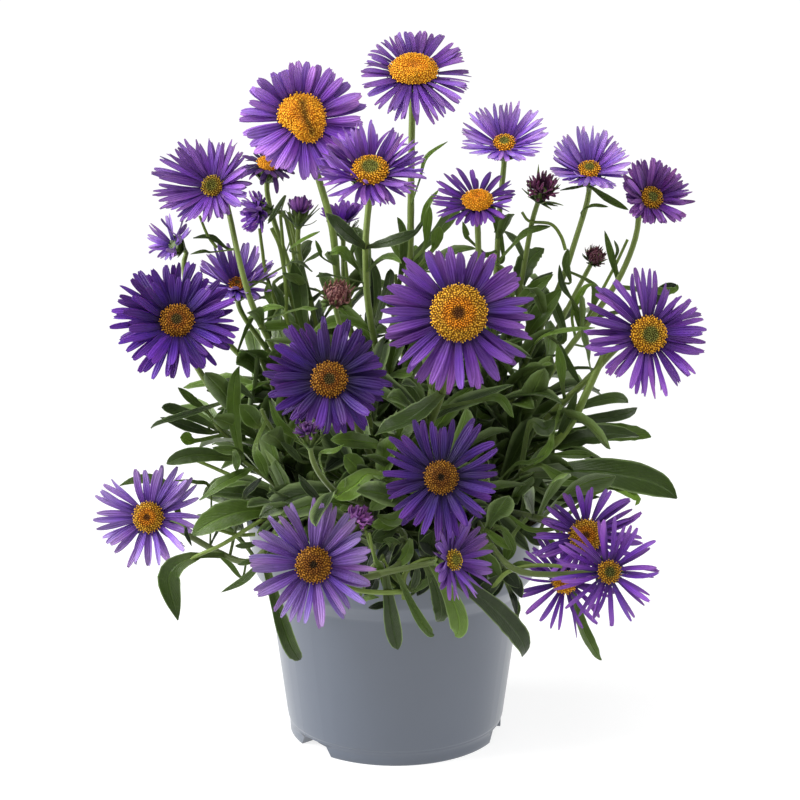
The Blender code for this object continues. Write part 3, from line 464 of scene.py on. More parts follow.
def notch_half_width(height):
    """Half the notch's width, which narrows from its mouth at the floor to its roof."""
    share = np.clip(np.asarray(height, float) / NOTCH_HEIGHT, 0, 1)
    return NOTCH_WIDTH / 2 + NOTCH_FLARE - 2 * NOTCH_FLARE * share


def pot_columns():
    """Columns round the pot as (base angle, share of the notch's half width, whether inside a notch)."""
    notches = np.array(NOTCH_ANGLES) % 360
    plain = np.linspace(0, 360, POT_AROUND, endpoint=False)
    away = np.abs((plain[:, None] - notches + 180) % 360 - 180).min(axis=1)
    plain = plain[away > NOTCH_CLEAR]
    base = np.concatenate([plain, np.repeat(notches, len(NOTCH_SHARES))])
    share = np.concatenate([0 * plain, np.tile(NOTCH_SHARES, len(notches))])
    inside = np.isin(base, notches) & (np.abs(share) <= 1.0)
    order = np.argsort((base + share * 10.0) % 360)
    return base[order], share[order], inside[order]


def turned_with_notches(profile, notch_rows, inner, wall):
    """A profile of (radius, height) turned about Z.

    In the rows named as notch rows, the points inside a notch are pushed in to the inner radius.
    """
    base, share, inside = pot_columns()
    radius, height = np.array(profile, float).T[:, :, None]
    pushed = np.isin(np.arange(len(profile)), notch_rows)[:, None] & inside
    radius = np.where(pushed, inner, radius + 0 * base)
    half = notch_half_width(height) + wall
    swing = np.degrees(np.arcsin(np.clip(half / np.maximum(radius, inner), 0, 1)))
    angle = np.radians(base + share * swing)
    return np.stack([radius * np.sin(angle), -radius * np.cos(angle), height + 0 * angle], axis=-1)


print("columns round the pot:", len(pot_columns()[0]))

# %% Turn the pot and drill it
DRAINS, DRAIN_RADIUS, DRAIN_CIRCLE, DRAIN_TURN = 4, 3.2, 22, 40
# The lowest few millimetres are tinted a little darker
FOOT_TINT_HEIGHT, FOOT_TINT_FACTOR = 3.0, 0.94


def make_pot():
    """The shell: a profile under the base, up the outside, over the lip and down the inside, then drilled."""
    under = [(0.6, 0), (12, 0), (25, 0), (36.9, 0)]
    foot = [(42.9, 0), (43.1, 0.25), (43.15, 1.6), (43.2, 3.1), (43.25, NOTCH_HEIGHT)]
    outside = rounded([(43.27, NOTCH_HEIGHT + 0.02), (43.4, 5.7), (43.85, 6.15), (44.2, 8.5), BODY, BAND,
                       (RIM[0], RIM[1] - 0.7), (RIM[0] - 0.3, RIM[1]), (RIM[0] - 1.0, RIM[1]),
                       (RIM[0] - WALL, RIM[1] - 0.5), (BAND[0] - WALL, BAND[1] + 0.65),
                       (BODY[0] - WALL, BODY[1] + 0.65), (42.0, 6.0)], 0.9)
    inside = [(42.0, 5.9), (41.9, 1.65)]
    floor = [(35.6, 1.6), (12, 1.6), (0.6, 1.6)]
    profile = [*under, *foot, *outside, *inside, *floor]
    first = len(under) + len(foot) + len(outside)
    rings = turned_with_notches(profile, range(len(under), len(under) + len(foot)), NOTCH_INNER, 0.0)
    inner = turned_with_notches(profile, (first, first + 1), NOTCH_INNER - WALL, WALL)
    rings[first:] = inner[first:]
    foot_tint = np.where(np.array(profile)[:, 1] < FOOT_TINT_HEIGHT, FOOT_TINT_FACTOR, 1.0)[:, None, None]
    pot = make_piece("pot_shell", [shape_of(rings[None], srgb(74, 83, 98) * foot_tint[None])], pot_finish)
    drill(pot)
    return pot


def drill(pot):
    """Cuts round drain holes through the base and bakes the cut into the mesh."""
    centre = polar(DRAIN_CIRCLE, np.radians(360.0 / DRAINS * np.arange(DRAINS) + DRAIN_TURN), 0.0)
    ends = np.array(((0, 0, -1.0), (0, 0, 3.0)))[:, None]
    rings = centre[:, None, None] + polar(DRAIN_RADIUS, turns(24), 0.0) + ends
    bits = make_piece("drills", [shape_of(rings, 0.5)], pot_finish)
    cut = pot.modifiers.new("drains", "BOOLEAN")
    cut.object = bits
    cut.solver = "EXACT"
    bpy.context.view_layer.update()
    drilled = bpy.data.meshes.new_from_object(pot.evaluated_get(bpy.context.evaluated_depsgraph_get()))
    pot.modifiers.clear()
    pot.data = drilled
    bpy.data.objects.remove(bits)


pot = make_pot()
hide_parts("pot")
print("pot shell:", len(pot.data.polygons), "faces")

# %% [markdown]
# ## The soil
#
# Peat compost fills the pot to a finger's breadth under the rim, heaped a little in the middle, and looks
# like dark crumbs. Scattered grains alone would need thousands of pieces to hide the gaps, so the top is a
# fine grid whose heights add up waves of several sizes, and some hundred loose crumbs lie on it.

# %% Soil
SOIL_TOP, SOIL_MOUND, SOIL_REACH = 83.5, 2.0, 56.0
# The body keeps clear of the pot's wall by this much, and its top has this many rows
SOIL_GAP, SOIL_ROWS = 0.3, 64
CRUMBS, CRUMB_REACH = 420, 55.0


def rough(x, y, sizes, seed):
    """A bumpy height over the plane: a sum of waves in random directions, one set for each size."""
    rng = np.random.default_rng(seed)
    total = np.zeros(np.shape(x))
    for size in sizes:
        for _ in range(5):
            turn, phase = rng.uniform(0, 2 * math.pi, 2)
            ahead = x * math.cos(turn) + y * math.sin(turn)
            total += size * 0.16 * np.sin(ahead * 2 * math.pi / size / 2 + phase)
    return total


def soil_height(x, y):
    """Height of the soil's top at a place: a low mound with crumbs of three sizes on it."""
    away = np.hypot(x, y) / SOIL_REACH
    return SOIL_TOP + SOIL_MOUND * (1 - away**2) + rough(x, y, (9.0, 4.0, 1.8), 5)


def make_soil():
    """The soil's body, turned with the same notches as the pot, and the rows of its top moved up and down."""
    inset = WALL + SOIL_GAP
    side = [(0.6, 1.9), (12, 1.9), (35.2, 1.9), (41.7, 1.9), (41.7, 6.2), (41.8, 6.35),
            (BODY[0] - inset, BODY[1] + 0.8), (BAND[0] - inset, BAND[1] + 0.8)]
    edge = RIM[0] - inset - 1.3
    top = [(r, SOIL_TOP) for r in np.linspace(edge, 0.6, SOIL_ROWS)]
    rings = turned_with_notches([*side, *top], (3, 4), NOTCH_INNER - inset, inset)
    rings[len(side):, :, 2] = soil_height(rings[len(side):, :, 0], rings[len(side):, :, 1])
    level = np.clip((rings[..., 2] - 82.5) / 4.0, 0, 1)[..., None]
    return shape_of(rings[None], mix(srgb(46, 33, 24), srgb(84, 64, 48), level)[None])


def make_crumbs(amount):
    """Small lumps: each a ring of six points carried up three levels, squashed and turned at random."""
    rng = np.random.default_rng(SEED)
    turn = rng.uniform(0, 2 * math.pi, amount)
    away = CRUMB_REACH * np.sqrt(rng.uniform(0, 1, amount))
    x, y = away * np.cos(turn), away * np.sin(turn)
    size = rng.uniform(0.5, 1.5, amount)[:, None, None]
    around = turns(6)
    wide = np.array((0.55, 1.0, 0.5))[:, None]
    spin = rng.uniform(0, 2 * math.pi, (amount, 1, 1))
    ring = np.stack([wide * np.cos(around + spin), 0.7 * wide * np.sin(around + spin),
                     np.array((-0.5, 0.1, 0.7))[:, None] + 0 * around + 0 * spin], axis=-1)
    ring = ring * size[..., None] * rng.uniform(0.8, 1.2, ring.shape)
    rings = ring + np.stack([x, y, soil_height(x, y)], axis=-1)[:, None, None]
    tint = srgb(70, 52, 38) * rng.uniform(0.5, 1.5, (amount, 1, 1, 1))
    return shape_of(rings, tint)


soil = make_piece("soil_bed", [make_soil(), make_crumbs(CRUMBS)], soil_finish)
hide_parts("soil")
print("soil:", len(soil.data.polygons), "faces")

# %% [markdown]
# ## The plan of the plant
#
# Five crowns come up through the soil, and each carries some of the blooms. For every bloom the plan gives
# where its disc is, which way it looks, how far its rays reach and how big its disc is, with the points that
# its stem passes. These are the solid model's own numbers, in millimetres, so the fine surfaces land on the
# solids.

# %% Crowns, blooms, opening buds, closed buds and leafy shoots
CROWNS = {
    "greens_left_front": (-30, -20),
    "greens_left_back": (-24, 24),
    "greens_middle_back": (8, 32),
    "greens_middle_front": (2, -28),
    "greens_right": (32, 0),
}
LF, LB, MB, MF, RT = CROWNS

# Bloom: centre, turn, lift, reach, disc radius, rise of the rays, tone, crown, and stem points from the
# bloom down
BLOOMS = {
    "01": ((7, 5, 262), 2, 43, 21.5, 9.2, -2, "violet", MB, ((6, 14, 200),)),
    "02": ((-35, -12, 244), 4, 9, 23.6, 9.6, 0, "violet", MB, ((-25, -6, 205), (-20, 4, 168))),
    "03": ((-9, -32, 226), 1, 44, 20.0, 6.9, 18, "violet", MB, ((-11, -24, 195), (-8, -10, 160))),
    "04": ((-51, 28, 226), 17, 61, 11.2, 4.8, -10, "violet", LB, ()),
    "05": ((-70, -2, 219), -15, 20, 21.1, 4.2, 16, "violet", LB, ((-64, 6, 180),)),
    "06": ((-63, 14, 179), 6, 56, 16.0, 3.6, 33, "light", LB, ()),
    "07": ((-88, 8, 196), -31, 18, 11.8, 2.8, 28, "light", LB, ((-80, 14, 172),)),
    "08": ((-81, -32, 171), 8, 25, 22.6, 6.4, 13, "dark", LF, ((-72, -18, 145),)),
    "12": ((42, 2, 235), -4, 46, 18.5, 4.2, 31, "light", RT, ((40, 5, 195),)),
    "13": ((31, -16, 214), -3, 53, 16.5, 5.8, 6, "dark", RT, ((32, -10, 180),)),
    "15": ((75, 2, 225), -7, 47, 16.2, 4.2, 31, "light", RT, ((68, 4, 190),)),
    "16": ((97, -10, 215), 20, 23, 15.9, 4.4, 20, "dark", RT, ((88, 0, 185),)),
    "18": ((22.5, -62, 178), -2, 9, 27.4, 10.3, -3, "violet", MF, ((18, -46, 150),)),
    "19": ((-23, -66, 155), 3, 15, 22.1, 6.4, 0, "dark", MF, ((-16, -50, 130),)),
    "21": ((95, -26, 165), 11, 11, 24.4, 7.1, 3, "violet", RT, ((78, -13, 150),)),
    "22": ((16, -84, 124), -2, 15, 21.7, 5.8, 0, "dark", MF, ((12, -62, 108),)),
    "23": ((-93, -36, 97), -6, 14, 21.9, 5.8, 0, "light", LF, ((-73, -44, 86), (-48, -54, 93))),
    "24": ((-28, -88, 94), 3, 17, 22.8, 6.3, 3, "light", MF, ((-13, -82, 88), (3, -72, 89), (4, -56, 99))),
    "27": ((20, -86, 95), 45, 17, 17.3, 3.5, 16, "light", MF, ()),
    "28": ((69, -62, 97), -7, 21, 21.3, 6.0, 0, "violet", RT, ((54, -49, 100),)),
    "29": ((75, -80, 89), 7, 16, 18.4, 4.0, 0, "violet", RT, ((62, -60, 84), (46, -50, 94))),
    "30": ((63, -50, 76), -12, 5, 18.5, 4.4, 0, "violet", RT, ((62, -34, 92),)),
    "31": ((-32, 66, 134), 165, 25, 21.0, 6.4, 4, "violet", MB, ((-22, 52, 108),)),
    "32": ((34, 72, 150), 192, 20, 21.0, 6.4, 2, "dark", MB, ((28, 52, 125),)),
}
TUFTS = {
    "09": ((-56, 24, 208), -54, 2, 10.5, 2.2, 38, "violet", LB, ()),
    "10": ((-37, 2, 210), 26, 75, 8.4, 2.6, 54, "violet", LB, ()),
    "11": ((-21, 22, 204), 2, 83, 9.0, 2.4, 44, "violet", LB, ()),
    "14": ((55, -20, 219), 10, 40, 6.9, 2.8, 52, "maroon", RT, ((50, 4, 185),)),
    "25": ((-30, -78, 139), -10, 65, 4.5, 2.2, 50, "maroon", MF, ((-22, -66, 115),)),
    "26": ((-13, -72, 106), 39, 59, 5.0, 2.0, 50, "pink", MF, ()),
}
HEADS = {**BLOOMS, **TUFTS}
# Closed bud: centre, turn, lift, radius, crown
BUDS = {
    "17": ((80, 16, 191), 18, 43, 3.6, RT),
    "20": ((-21, -36, 182), 10, 37, 4.8, MF),
}
BRANCHED = {"27": ("24", 0.62)}
NO_DISC = ("07",)
SHOOTS = (
    (LF, (-70, -12, 128)), (LF, (-60, -30, 120)), (LF, (-46, -40, 102)), (LF, (-50, -34, 138)),
    (LB, (-54, 6, 152)), (LB, (-50, 42, 140)), (MF, (-5, -50, 130)), (MF, (-30, -42, 122)),
    (MF, (34, -52, 116)), (MF, (14, -40, 152)), (RT, (48, -30, 114)), (RT, (56, -12, 120)),
    (RT, (66, 2, 132)), (RT, (60, 22, 158)), (MB, (40, 30, 172)), (MB, (2, 60, 150)), (MB, (0, 8, 184)),
)
HUB_STEP, FIT, CUP_DEPTH = 0.95, 0.3, 6.5
STEM_FOOT = 86.0
print("blooms:", len(BLOOMS), "opening buds:", len(TUFTS), "closed buds:", len(BUDS), "shoots:", len(SHOOTS))

# %% [markdown]
# ## Where the stems run
#
# A real stem leaves the crown almost upright, leans toward the light and bends over below its bloom. The
# solid model carries each stem along a Hermite curve, and where two stems met it tried the next of a row of
# random bends until the way was clear. The same draws are made here, and the one whose points are found
# in the solid's mesh is the one that it kept, so the fine stem follows the faceted one.

# %% Curves through points
def facing(turn, lift):
    """Direction turned from the front towards +X by turn and raised by lift, in degrees."""
    a, b = math.radians(turn), math.radians(lift)
    return np.array((math.sin(a) * math.cos(b), -math.cos(a) * math.cos(b), math.sin(b)))


def placed(points, centre, normal):
    """Points from a bloom's own frame, which looks along +Z, to their place on the plant."""
    across = unit(np.cross((0, 0, 1), normal))
    return np.asarray(centre, float) + points @ np.array((across, np.cross(normal, across), normal))


def along(line, shares):
    """Points on a line of straight stretches, at shares of its length."""
    reach = np.concatenate(([0], np.cumsum(np.linalg.norm(np.diff(line, axis=0), axis=1))))
    wanted = np.asarray(shares) * reach[-1]
    return np.column_stack([np.interp(wanted, reach, line[:, i]) for i in range(3)])


def spine(points, start, end, stations):
    """A Hermite curve: between two points, (2t3-3t2+1)a + (t3-2t2+t)u + (3t2-2t3)b + (t3-t2)v."""
    points = np.asarray(points, float)
    tangents = np.empty_like(points)
    tangents[1:-1] = (points[2:] - points[:-2]) / 2
    tangents[0] = start
    tangents[-1] = end
    t = np.linspace(0, 1, 24, endpoint=False)[:, None]
    parts = []
    for a, b, u, v in zip(points[:-1], points[1:], tangents[:-1], tangents[1:]):
        parts.append((2 * t**3 - 3 * t**2 + 1) * a + (t**3 - 2 * t**2 + t) * u
                     + (3 * t**2 - 2 * t**3) * b + (t**3 - t**2) * v)
    return along(np.vstack(parts + [points[-1:]]), stations)


def draws(*key):
    """Random numbers that are the same for the same key. Its first number keeps the kinds of piece apart."""
    return np.random.default_rng([SEED, *key])


def seat(key):
    """A head's centre and the way that it looks."""
    centre, turn, lift, *_ = {**HEADS, **BUDS}[key]
    return np.array(centre, float), facing(turn, lift)


def stem_route(foot, neck, normal, via, key, attempt, stations):
    """A route from the crown to the neck of the bloom. Each attempt after the first bends it further."""
    rng = draws(key, attempt)
    reach = 0.0 if attempt == 0 else 2.0 + 0.16 * attempt
    rise = neck[2] - foot[2]
    middle = [np.asarray(p, float) for p in reversed(via)]
    if not middle:
        middle = [foot + (neck - foot) * (0.45, 0.45, 0.6)]
    middle = [p + rng.uniform(-1, 1, 3) * (reach, reach, reach * 0.6) for p in middle]
    route = [foot + rng.uniform(-1, 1, 3) * (min(reach, 3.0), min(reach, 3.0), 0), *middle, neck]
    first = route[1] - route[0]
    start = np.array((first[0] * 0.5, first[1] * 0.5, abs(first[2]) + 0.35 * abs(rise) + 12.0))
    span = np.linalg.norm(route[-1] - route[-2])
    end = normal * min(42.0, 0.85 * span) * rng.uniform(0.7, 1.25)
    return spine(route, start, end, stations)


print("a bloom turned 30 and lifted 45 degrees looks along", facing(30, 45).round(2))

# %% What each stem has to reach
FINE = np.linspace(0, 1, 40)


def stem_jobs():
    """Every stem: key, crown, neck, end direction, points to pass, radii below and above, if it flowers."""
    jobs = []
    for key, (*_, disc, _, _, crown, via) in HEADS.items():
        centre, normal = seat(key)
        neck = centre - normal * (HUB_STEP + FIT + CUP_DEPTH)
        size = 1.0 + 0.055 * disc
        jobs.append((key, crown, neck, normal, via, (size + 0.25, size - 0.1), True))
    for key, (*_, radius, crown) in BUDS.items():
        centre, normal = seat(key)
        jobs.append((key, crown, centre - normal * 1.3 * radius, normal, (), (1.3, 1.0), True))
    for number, (crown, top) in enumerate(SHOOTS):
        lean = unit(np.array(top, float) - (*CROWNS[crown], 60.0))
        jobs.append((f"s{number}", crown, np.array(top, float), lean, (), (1.35, 0.8), False))
    return jobs


jobs = stem_jobs()
print("stems to find:", len(jobs))

# %% Find each stem in the solids
FLOWER_STATIONS, SHOOT_STATIONS = (0.0, 0.34, 0.64, 0.86, 1.0), (0.0, 0.3, 0.62, 1.0)
ATTEMPTS, SURE, DOUBTFUL = 160, 0.01, 0.05


def search_tree(node):
    """A search tree of a solid's points, in millimetres."""
    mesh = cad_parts[node].data
    points = np.empty(len(mesh.vertices) * 3)
    mesh.vertices.foreach_get("co", points)
    tree = KDTree(len(points) // 3)
    for index, point in enumerate(points.reshape(-1, 3) / MM):
        tree.insert(point, index)
    tree.balance()
    return tree


def stem_foot(crown, number, toward):
    """Where the stem starts: inside the crown, on the side that it leans to."""
    x, y = CROWNS[crown]
    lean = math.atan2(toward[1] - y, toward[0] - x)
    angle = lean + (number - 1) * 0.5
    return np.array((x + 5.0 * math.cos(angle), y + 5.0 * math.sin(angle), STEM_FOOT))


def find_stems(jobs, trees):
    """The fine and the faceted line of every stem, by the attempt that lies nearest the solid's points.

    The solid's stem has a ring of points round each station, so the nearest point is one radius away.
    """
    fine, coarse = {}, {}
    order = {crown: [job[0] for job in jobs if job[1] == crown] for crown in CROWNS}
    for number, (key, crown, neck, normal, via, (low, high), flowers) in enumerate(jobs):
        stations = FLOWER_STATIONS if flowers else SHOOT_STATIONS
        toward = via[-1] if via else neck
        foot = stem_foot(crown, order[crown].index(key) % 3, toward)
        if key in BRANCHED:
            parent, share = BRANCHED[key]
            foot = along(coarse[parent], (share,))[0]
        radii = np.interp(np.linspace(0, 1, len(stations)), (0, 1), (low, high))
        best = None
        for attempt in range(ATTEMPTS):
            line = stem_route(foot, neck, normal, via, number, attempt, stations)
            misses = [abs(trees[crown].find(line[k])[2] - radii[k]) for k in range(1, len(line) - 1)]
            miss = sum(sorted(misses)[:2])
            if best is None or miss < best[0]:
                best = (miss, attempt, line)
            if miss < SURE:
                break
        if best[0] > DOUBTFUL:
            print("stem", key, "is", round(best[0], 3), "mm off the solid")
        coarse[key] = best[2]
        fine[key] = stem_route(foot, neck, normal, via, number, best[1], FINE)
    return fine, coarse


trees = {crown: search_tree(crown) for crown in CROWNS}
stems, faceted = find_stems(jobs, trees)
print("stems found:", len(stems))

# %% [markdown]
# ## Stems
#
# The stems are round, about two millimetres thick, pale green and downy, and they swell a little under the
# bloom. A curve with a bevel would do, but tubes worked out as one array keep all the stems of a crown in
# one closed mesh: a circle carried along each line, on two directions square to it.

# %% Tubes
MOUND_RADIUS, MOUND_FOOT, MOUND_RISE = 9.0, 78.0, 10.5


def tubes(lines, radii, around=8):
    """Circles carried along lines (shapes, points, 3): line + radius * (cos * side + sin * lift)."""
    ahead = unit(np.gradient(lines, axis=1))
    chord = unit(lines[:, -1] - lines[:, 0])
    bend = unit(lines[:, len(lines[0]) // 2] - lines[:, 0] - 0.31 * chord + 1e-3)
    side = np.cross(chord, bend)[:, None]
    side = unit(side - ahead * (side * ahead).sum(axis=-1, keepdims=True))
    lift = np.cross(ahead, side)
    turn = turns(around)[:, None]
    ring = np.cos(turn) * side[:, :, None] + np.sin(turn) * lift[:, :, None]
    return lines[:, :, None] + ring * np.asarray(radii)[..., None, None]


def stem_shapes(crown):
    """The tubes of one crown: thick below, thin above, with leaf scars as small swellings."""
    mine = [job for job in jobs if job[1] == crown]
    lines = np.array([stems[job[0]] for job in mine])
    low, high = np.array([job[5] for job in mine]).T[:, :, None]
    scars = 0.07 * np.cos(FINE * 2 * math.pi * 9) ** 8
    radii = (low + (high - low) * FINE) * (0.92 + scars)
    height = np.clip((lines[..., 2] - 80) / 130, 0, 1)[:, :, None, None]
    return shape_of(tubes(lines, radii), mix(srgb(78, 94, 32), srgb(118, 138, 56), height), 0.25)


def crown_mound(crown):
    """The woody crown: a dome of radius times (1 + waves) that stands in the soil."""
    turn = turns(16)
    rise = np.linspace(0, 1, 8)[:, None]
    waves = 0.09 * np.sin(3 * turn + 2 * rise) + 0.06 * np.sin(7 * turn)
    radius = MOUND_RADIUS * np.cos(rise * 1.45) ** 0.6 * (1 + waves)
    height = MOUND_FOOT + MOUND_RISE * rise + 0.5 * np.sin(5 * turn) * rise
    rings = polar(radius, turn, height) + (*CROWNS[crown], 0.0)
    return shape_of(rings[None], srgb(92, 88, 52))


def dress_crown(crown, kind, shapes, finish):
    """One piece of a crown's green growth, which stands for the crown's solid along with the others."""
    piece = make_piece(crown.replace("greens", kind), shapes, finish)
    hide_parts(crown)
    print(piece.name, len(piece.data.polygons), "faces")


for crown in CROWNS:
    dress_crown(crown, "stems", [stem_shapes(crown), crown_mound(crown)], stem_finish)

# %% [markdown]
# ## Blades: one shape for leaves, petals and bracts
#
# A leaf and a petal are both thin blades with a middle line that bends, sides that fold up or down, and a
# width that swells and narrows to the tip. Flat cards would look thin from the side, so each blade is closed:
# its cross-section runs over the top from one edge to the other and back underneath.

# %% Blades
TOP = np.array((1.0, 0.5, 0.0, -0.5, -1.0))
FINE_TOP = np.array((1.0, 0.84, 0.6, 0.3, 0.0, -0.3, -0.6, -0.84, -1.0))


def turn_about(side, lift, twist):
    """Side and lift turned about the way ahead by an angle for each point of the path."""
    cos, sin = np.cos(twist)[..., None], np.sin(twist)[..., None]
    return side * cos + lift * sin, lift * cos - side * sin


def blades(path, side, lift, half, thick, fold, top=TOP, lobes=0.0, edge=0.0):
    """Closed blades carried along paths (shapes, points, 3).

    A point lies at path + half*u*side + (half*(fold*|u|**1.6 - lobes*cos(2 pi u)) + edge*(u*u) +-
    thick/2*(1-u*u)) * lift, for u from edge to edge over the top and back underneath.
    """
    u = np.concatenate([top, -top[1:-1]])
    face = np.concatenate([np.ones(len(top)), -np.ones(len(top) - 2)])
    half, thick, fold = (np.broadcast_to(v, path.shape[:2])[..., None] for v in (half, thick, fold))
    edge = np.broadcast_to(edge, path.shape[:2])[..., None]
    rise = half * (fold * np.abs(u) ** 1.6 - lobes * np.cos(2 * math.pi * u)) + edge * u**2 * np.sign(u)
    rise = rise + face * thick / 2 * (1 - u**2)
    rings = path[:, :, None] + (half * u)[..., None] * side[:, :, None] + rise[..., None] * lift[:, :, None]
    return rings, u, face


print("points round a blade:", 2 * len(TOP) - 2, "or", 2 * len(FINE_TOP) - 2)

# %% [markdown]
# ## Leaves
#
# Low on the plant the leaves are spoon-shaped, four or five centimetres long, blunt and soft; up the stems
# they get shorter, narrower and more pointed. Each stands at about 137 degrees from the last. Their upper
# side is dark green, the lower one grey-green, and the edge looks pale because of its fringe of hairs. Every
# leaf of the solid model is found again by its tip, and many more are set between them by the same rule.

# %% Leaf forms
LEAF_ROWS = np.array((0.0, 0.1, 0.25, 0.4, 0.55, 0.7, 0.84, 0.94, 1.0))
KEY_ROWS = np.linspace(0, 1, 18) ** 0.92
SPOON = ((0.0, 0.22), (0.1, 0.24), (0.25, 0.4), (0.45, 0.78), (0.62, 0.98), (0.76, 1.0), (0.88, 0.78),
         (0.96, 0.42), (1.0, 0.08))
LANCE = ((0.0, 0.5), (0.1, 0.62), (0.25, 0.88), (0.42, 1.0), (0.6, 0.92), (0.76, 0.68), (0.9, 0.36),
         (1.0, 0.05))


def outline(form, shares):
    """Half width of a leaf form at shares of its length, by straight steps that a cosine smooths."""
    at, width = np.array(form).T
    k = np.clip(np.searchsorted(at, shares, side="right") - 1, 0, len(at) - 2)
    part = (shares - at[k]) / (at[k + 1] - at[k])
    part = (part + (1 - np.cos(math.pi * np.clip(part, 0, 1))) / 2) / 2
    return width[k] + (width[k + 1] - width[k]) * part


def bent_lines(base, middle, tip, rows):
    """Quadratic curves through a middle point: (1-s)^2 base + 2s(1-s) control + s^2 tip."""
    s = rows[:, None]
    control = (2 * middle - (base + tip) / 2)[:, None]
    return (1 - s) ** 2 * base[:, None] + 2 * s * (1 - s) * control + s**2 * tip[:, None]


print("half width of a spoon-shaped leaf at five shares:", outline(SPOON, np.linspace(0, 1, 5)).round(2))

# %% Leaf blades and their tint
def columns(table):
    """A table's columns as arrays."""
    return [np.array(column, float) for column in zip(*table)]


def twisted(rng, path, up, rows, twist, power, spin):
    """The ways aside and up along each leaf's path, turned by twist * share**power and a spin of its own."""
    ahead = unit(np.gradient(path, axis=1))
    side = unit(np.cross(up, ahead))
    angle = rng.normal(0, twist, (len(path), 1)) * rows**power + rng.normal(0, spin, (len(path), 1))
    return turn_about(side, np.cross(ahead, side), angle)


def leaf_shape(rng, path, ways, form, width, rows, top, most, least, ripple, high, tone):
    """Blades of a form along paths, each folded by its own draw between least and most, and rippled."""
    fold = rng.uniform(0.05, most, (len(path), 1)) * (1 - 0.4 * rows) + least
    waves = rng.normal(0, ripple, (len(path), len(rows))) * width * rows * (1 - rows) * 3
    rings, u, face = blades(path, *ways, width / 2 * form, 0.5 + 0.02 * width, fold, top, 0.0, waves)
    tint = leaf_tint(rng, len(path), rows, u, face, high, tone)
    return shape_of(rings, tint, u * 0.5 + 0.5, rows[:, None])


def make_leaves(table, rows, top, seed, tone):
    """Blades from (base, middle, tip, width, up, high) rows, each with its own fold, twist, wave and tint."""
    base, middle, tip, width, up, high = columns(table)
    rng = draws(seed)
    path = bent_lines(base, middle, tip, rows)
    length = np.linalg.norm(np.diff(path, axis=1), axis=-1).sum(axis=1)[:, None]
    side, lift = twisted(rng, path, up[:, None], rows, 0.5, 1.5, 0.12)
    wave = np.sin(rows * rng.uniform(5, 9, (len(table), 1)) + rng.uniform(0, 6, (len(table), 1)))
    path = path + lift * (wave * rows * 0.022 * length)[..., None]
    form = mix(outline(SPOON, rows), outline(LANCE, rows), high[:, None])
    return leaf_shape(rng, path, (side, lift), form, width[:, None], rows, top, 0.5, 0.15, 0.06, high, tone)


def leaf_tint(rng, amount, rows, u, face, high, tone):
    """Dark green above, grey-green below, pale at the edge, yellower high up or by each leaf's own draw."""
    # tone carries the painted light and painted shade that the callers give
    share = np.clip(rng.uniform(-0.1, 0.85, amount) + 0.3 * high + tone, 0, 1.4)[:, None, None, None]
    above = mix(srgb(18, 33, 6), srgb(88, 116, 32), share)
    below = mix(srgb(74, 94, 40), srgb(128, 150, 76), 0.4 * share)
    rim = (np.abs(u) > 0.99)[:, None]
    tint = np.where(rim, mix(srgb(134, 155, 98), above, 0.25), np.where((face < 0)[:, None], below, above))
    stalk = np.clip(1 - rows / 0.22, 0, 1)[:, None, None]
    tint = mix(tint, srgb(104, 122, 58), 0.5 * stalk)
    return tint * rng.uniform(0.85, 1.12, (amount, 1, 1, 1))


print("rows of points along a leaf:", len(LEAF_ROWS), "or", len(KEY_ROWS))

# %% The solid model's leaves that show one by one
# Crown, places of the base, the middle and the tip, and width
KEY_LEAVES = (
    (RT, 61, -25, 113, 85, -32, 112.5, 106, -38, 105, 12.6),
    (RT, 61, -15, 120, 79, -16, 123.5, 94, -18, 125, 10.6), (RT, 65, 0, 116, 85, 0, 122, 101, -2, 120, 9),
    (RT, 68, -5, 124, 84, 0, 128, 97, 5, 131, 5), (RT, 75, 0, 135, 84, 3, 135, 93, 5, 133, 5),
    (RT, 58, -30, 112, 78, -28, 109, 97, -26, 104, 7), (RT, 64, -44, 67, 71, -46, 55, 78, -48, 45, 5),
    (RT, 46, 8, 176, 52, 10, 187, 59, 14, 194, 9.5), (RT, 54, 10, 160, 60, 12, 168, 65, 14, 176, 6.8),
    (RT, 98, 0, 172, 105, 0, 178, 110, 0, 181, 4.3), (MF, 30, -72, 77, 39, -74, 70, 46, -66, 53, 8.5),
    (MF, 23, -74, 80, 22, -79, 74, 22, -76, 64, 7.5), (MF, 16, -74, 82, 16, -78, 76, 15, -76, 68, 7),
    (MF, 3, -78, 76, 9, -80, 71, 14, -80, 66, 4), (MF, -2, -72, 78, -1, -75, 69, 1, -72, 58, 6.5),
    (LF, -42, -52, 67, -40, -57, 58, -35, -56, 48, 6.5),
    (LF, -46, -45, 104, -61, -48, 101, -75, -50, 94, 11),
    (LF, -73, -20, 104, -90, -24, 107, -105, -28, 107, 5),
    (LF, -67, -35, 129, -74, -38, 121.5, -85, -40, 118.5, 6.4),
    (LF, -74, -10, 127, -83, -10, 132, -91, -10, 134, 5),
    (LF, -74, -20, 131, -84, -22, 132, -93, -25, 129, 4),
    (LF, -71, -20, 135, -63, -22, 146, -53, -24, 139, 4),
    (LF, -62, -30, 126, -61, -30, 140, -58, -28, 153, 6.4),
    (LF, -50, -40, 115, -61, -42, 113, -73, -44, 106, 5.9),
    (MF, 18, -60, 142, 5, -68, 141, -7, -72, 136, 9), (MF, -3, -55, 126, -13, -58, 131, -23, -60, 132, 7),
    (MF, -14, -60, 124, -13, -62, 119, -12, -62, 112, 9),
    (MB, -14, -33, 193, -18, -34, 204, -25, -36, 211, 6),
    (MB, -10, -33, 196, -1, -35, 201, 9, -36, 205, 4.5), (MB, 6, 6, 184, 3, 4, 196, 1, 2, 207, 3.9),
    (MB, 20, 30, 192, 22, 32, 205, 23, 34, 214, 6.5), (MB, -4, -6, 169, -3, -6, 180, -2, -6, 188, 4.3),
)
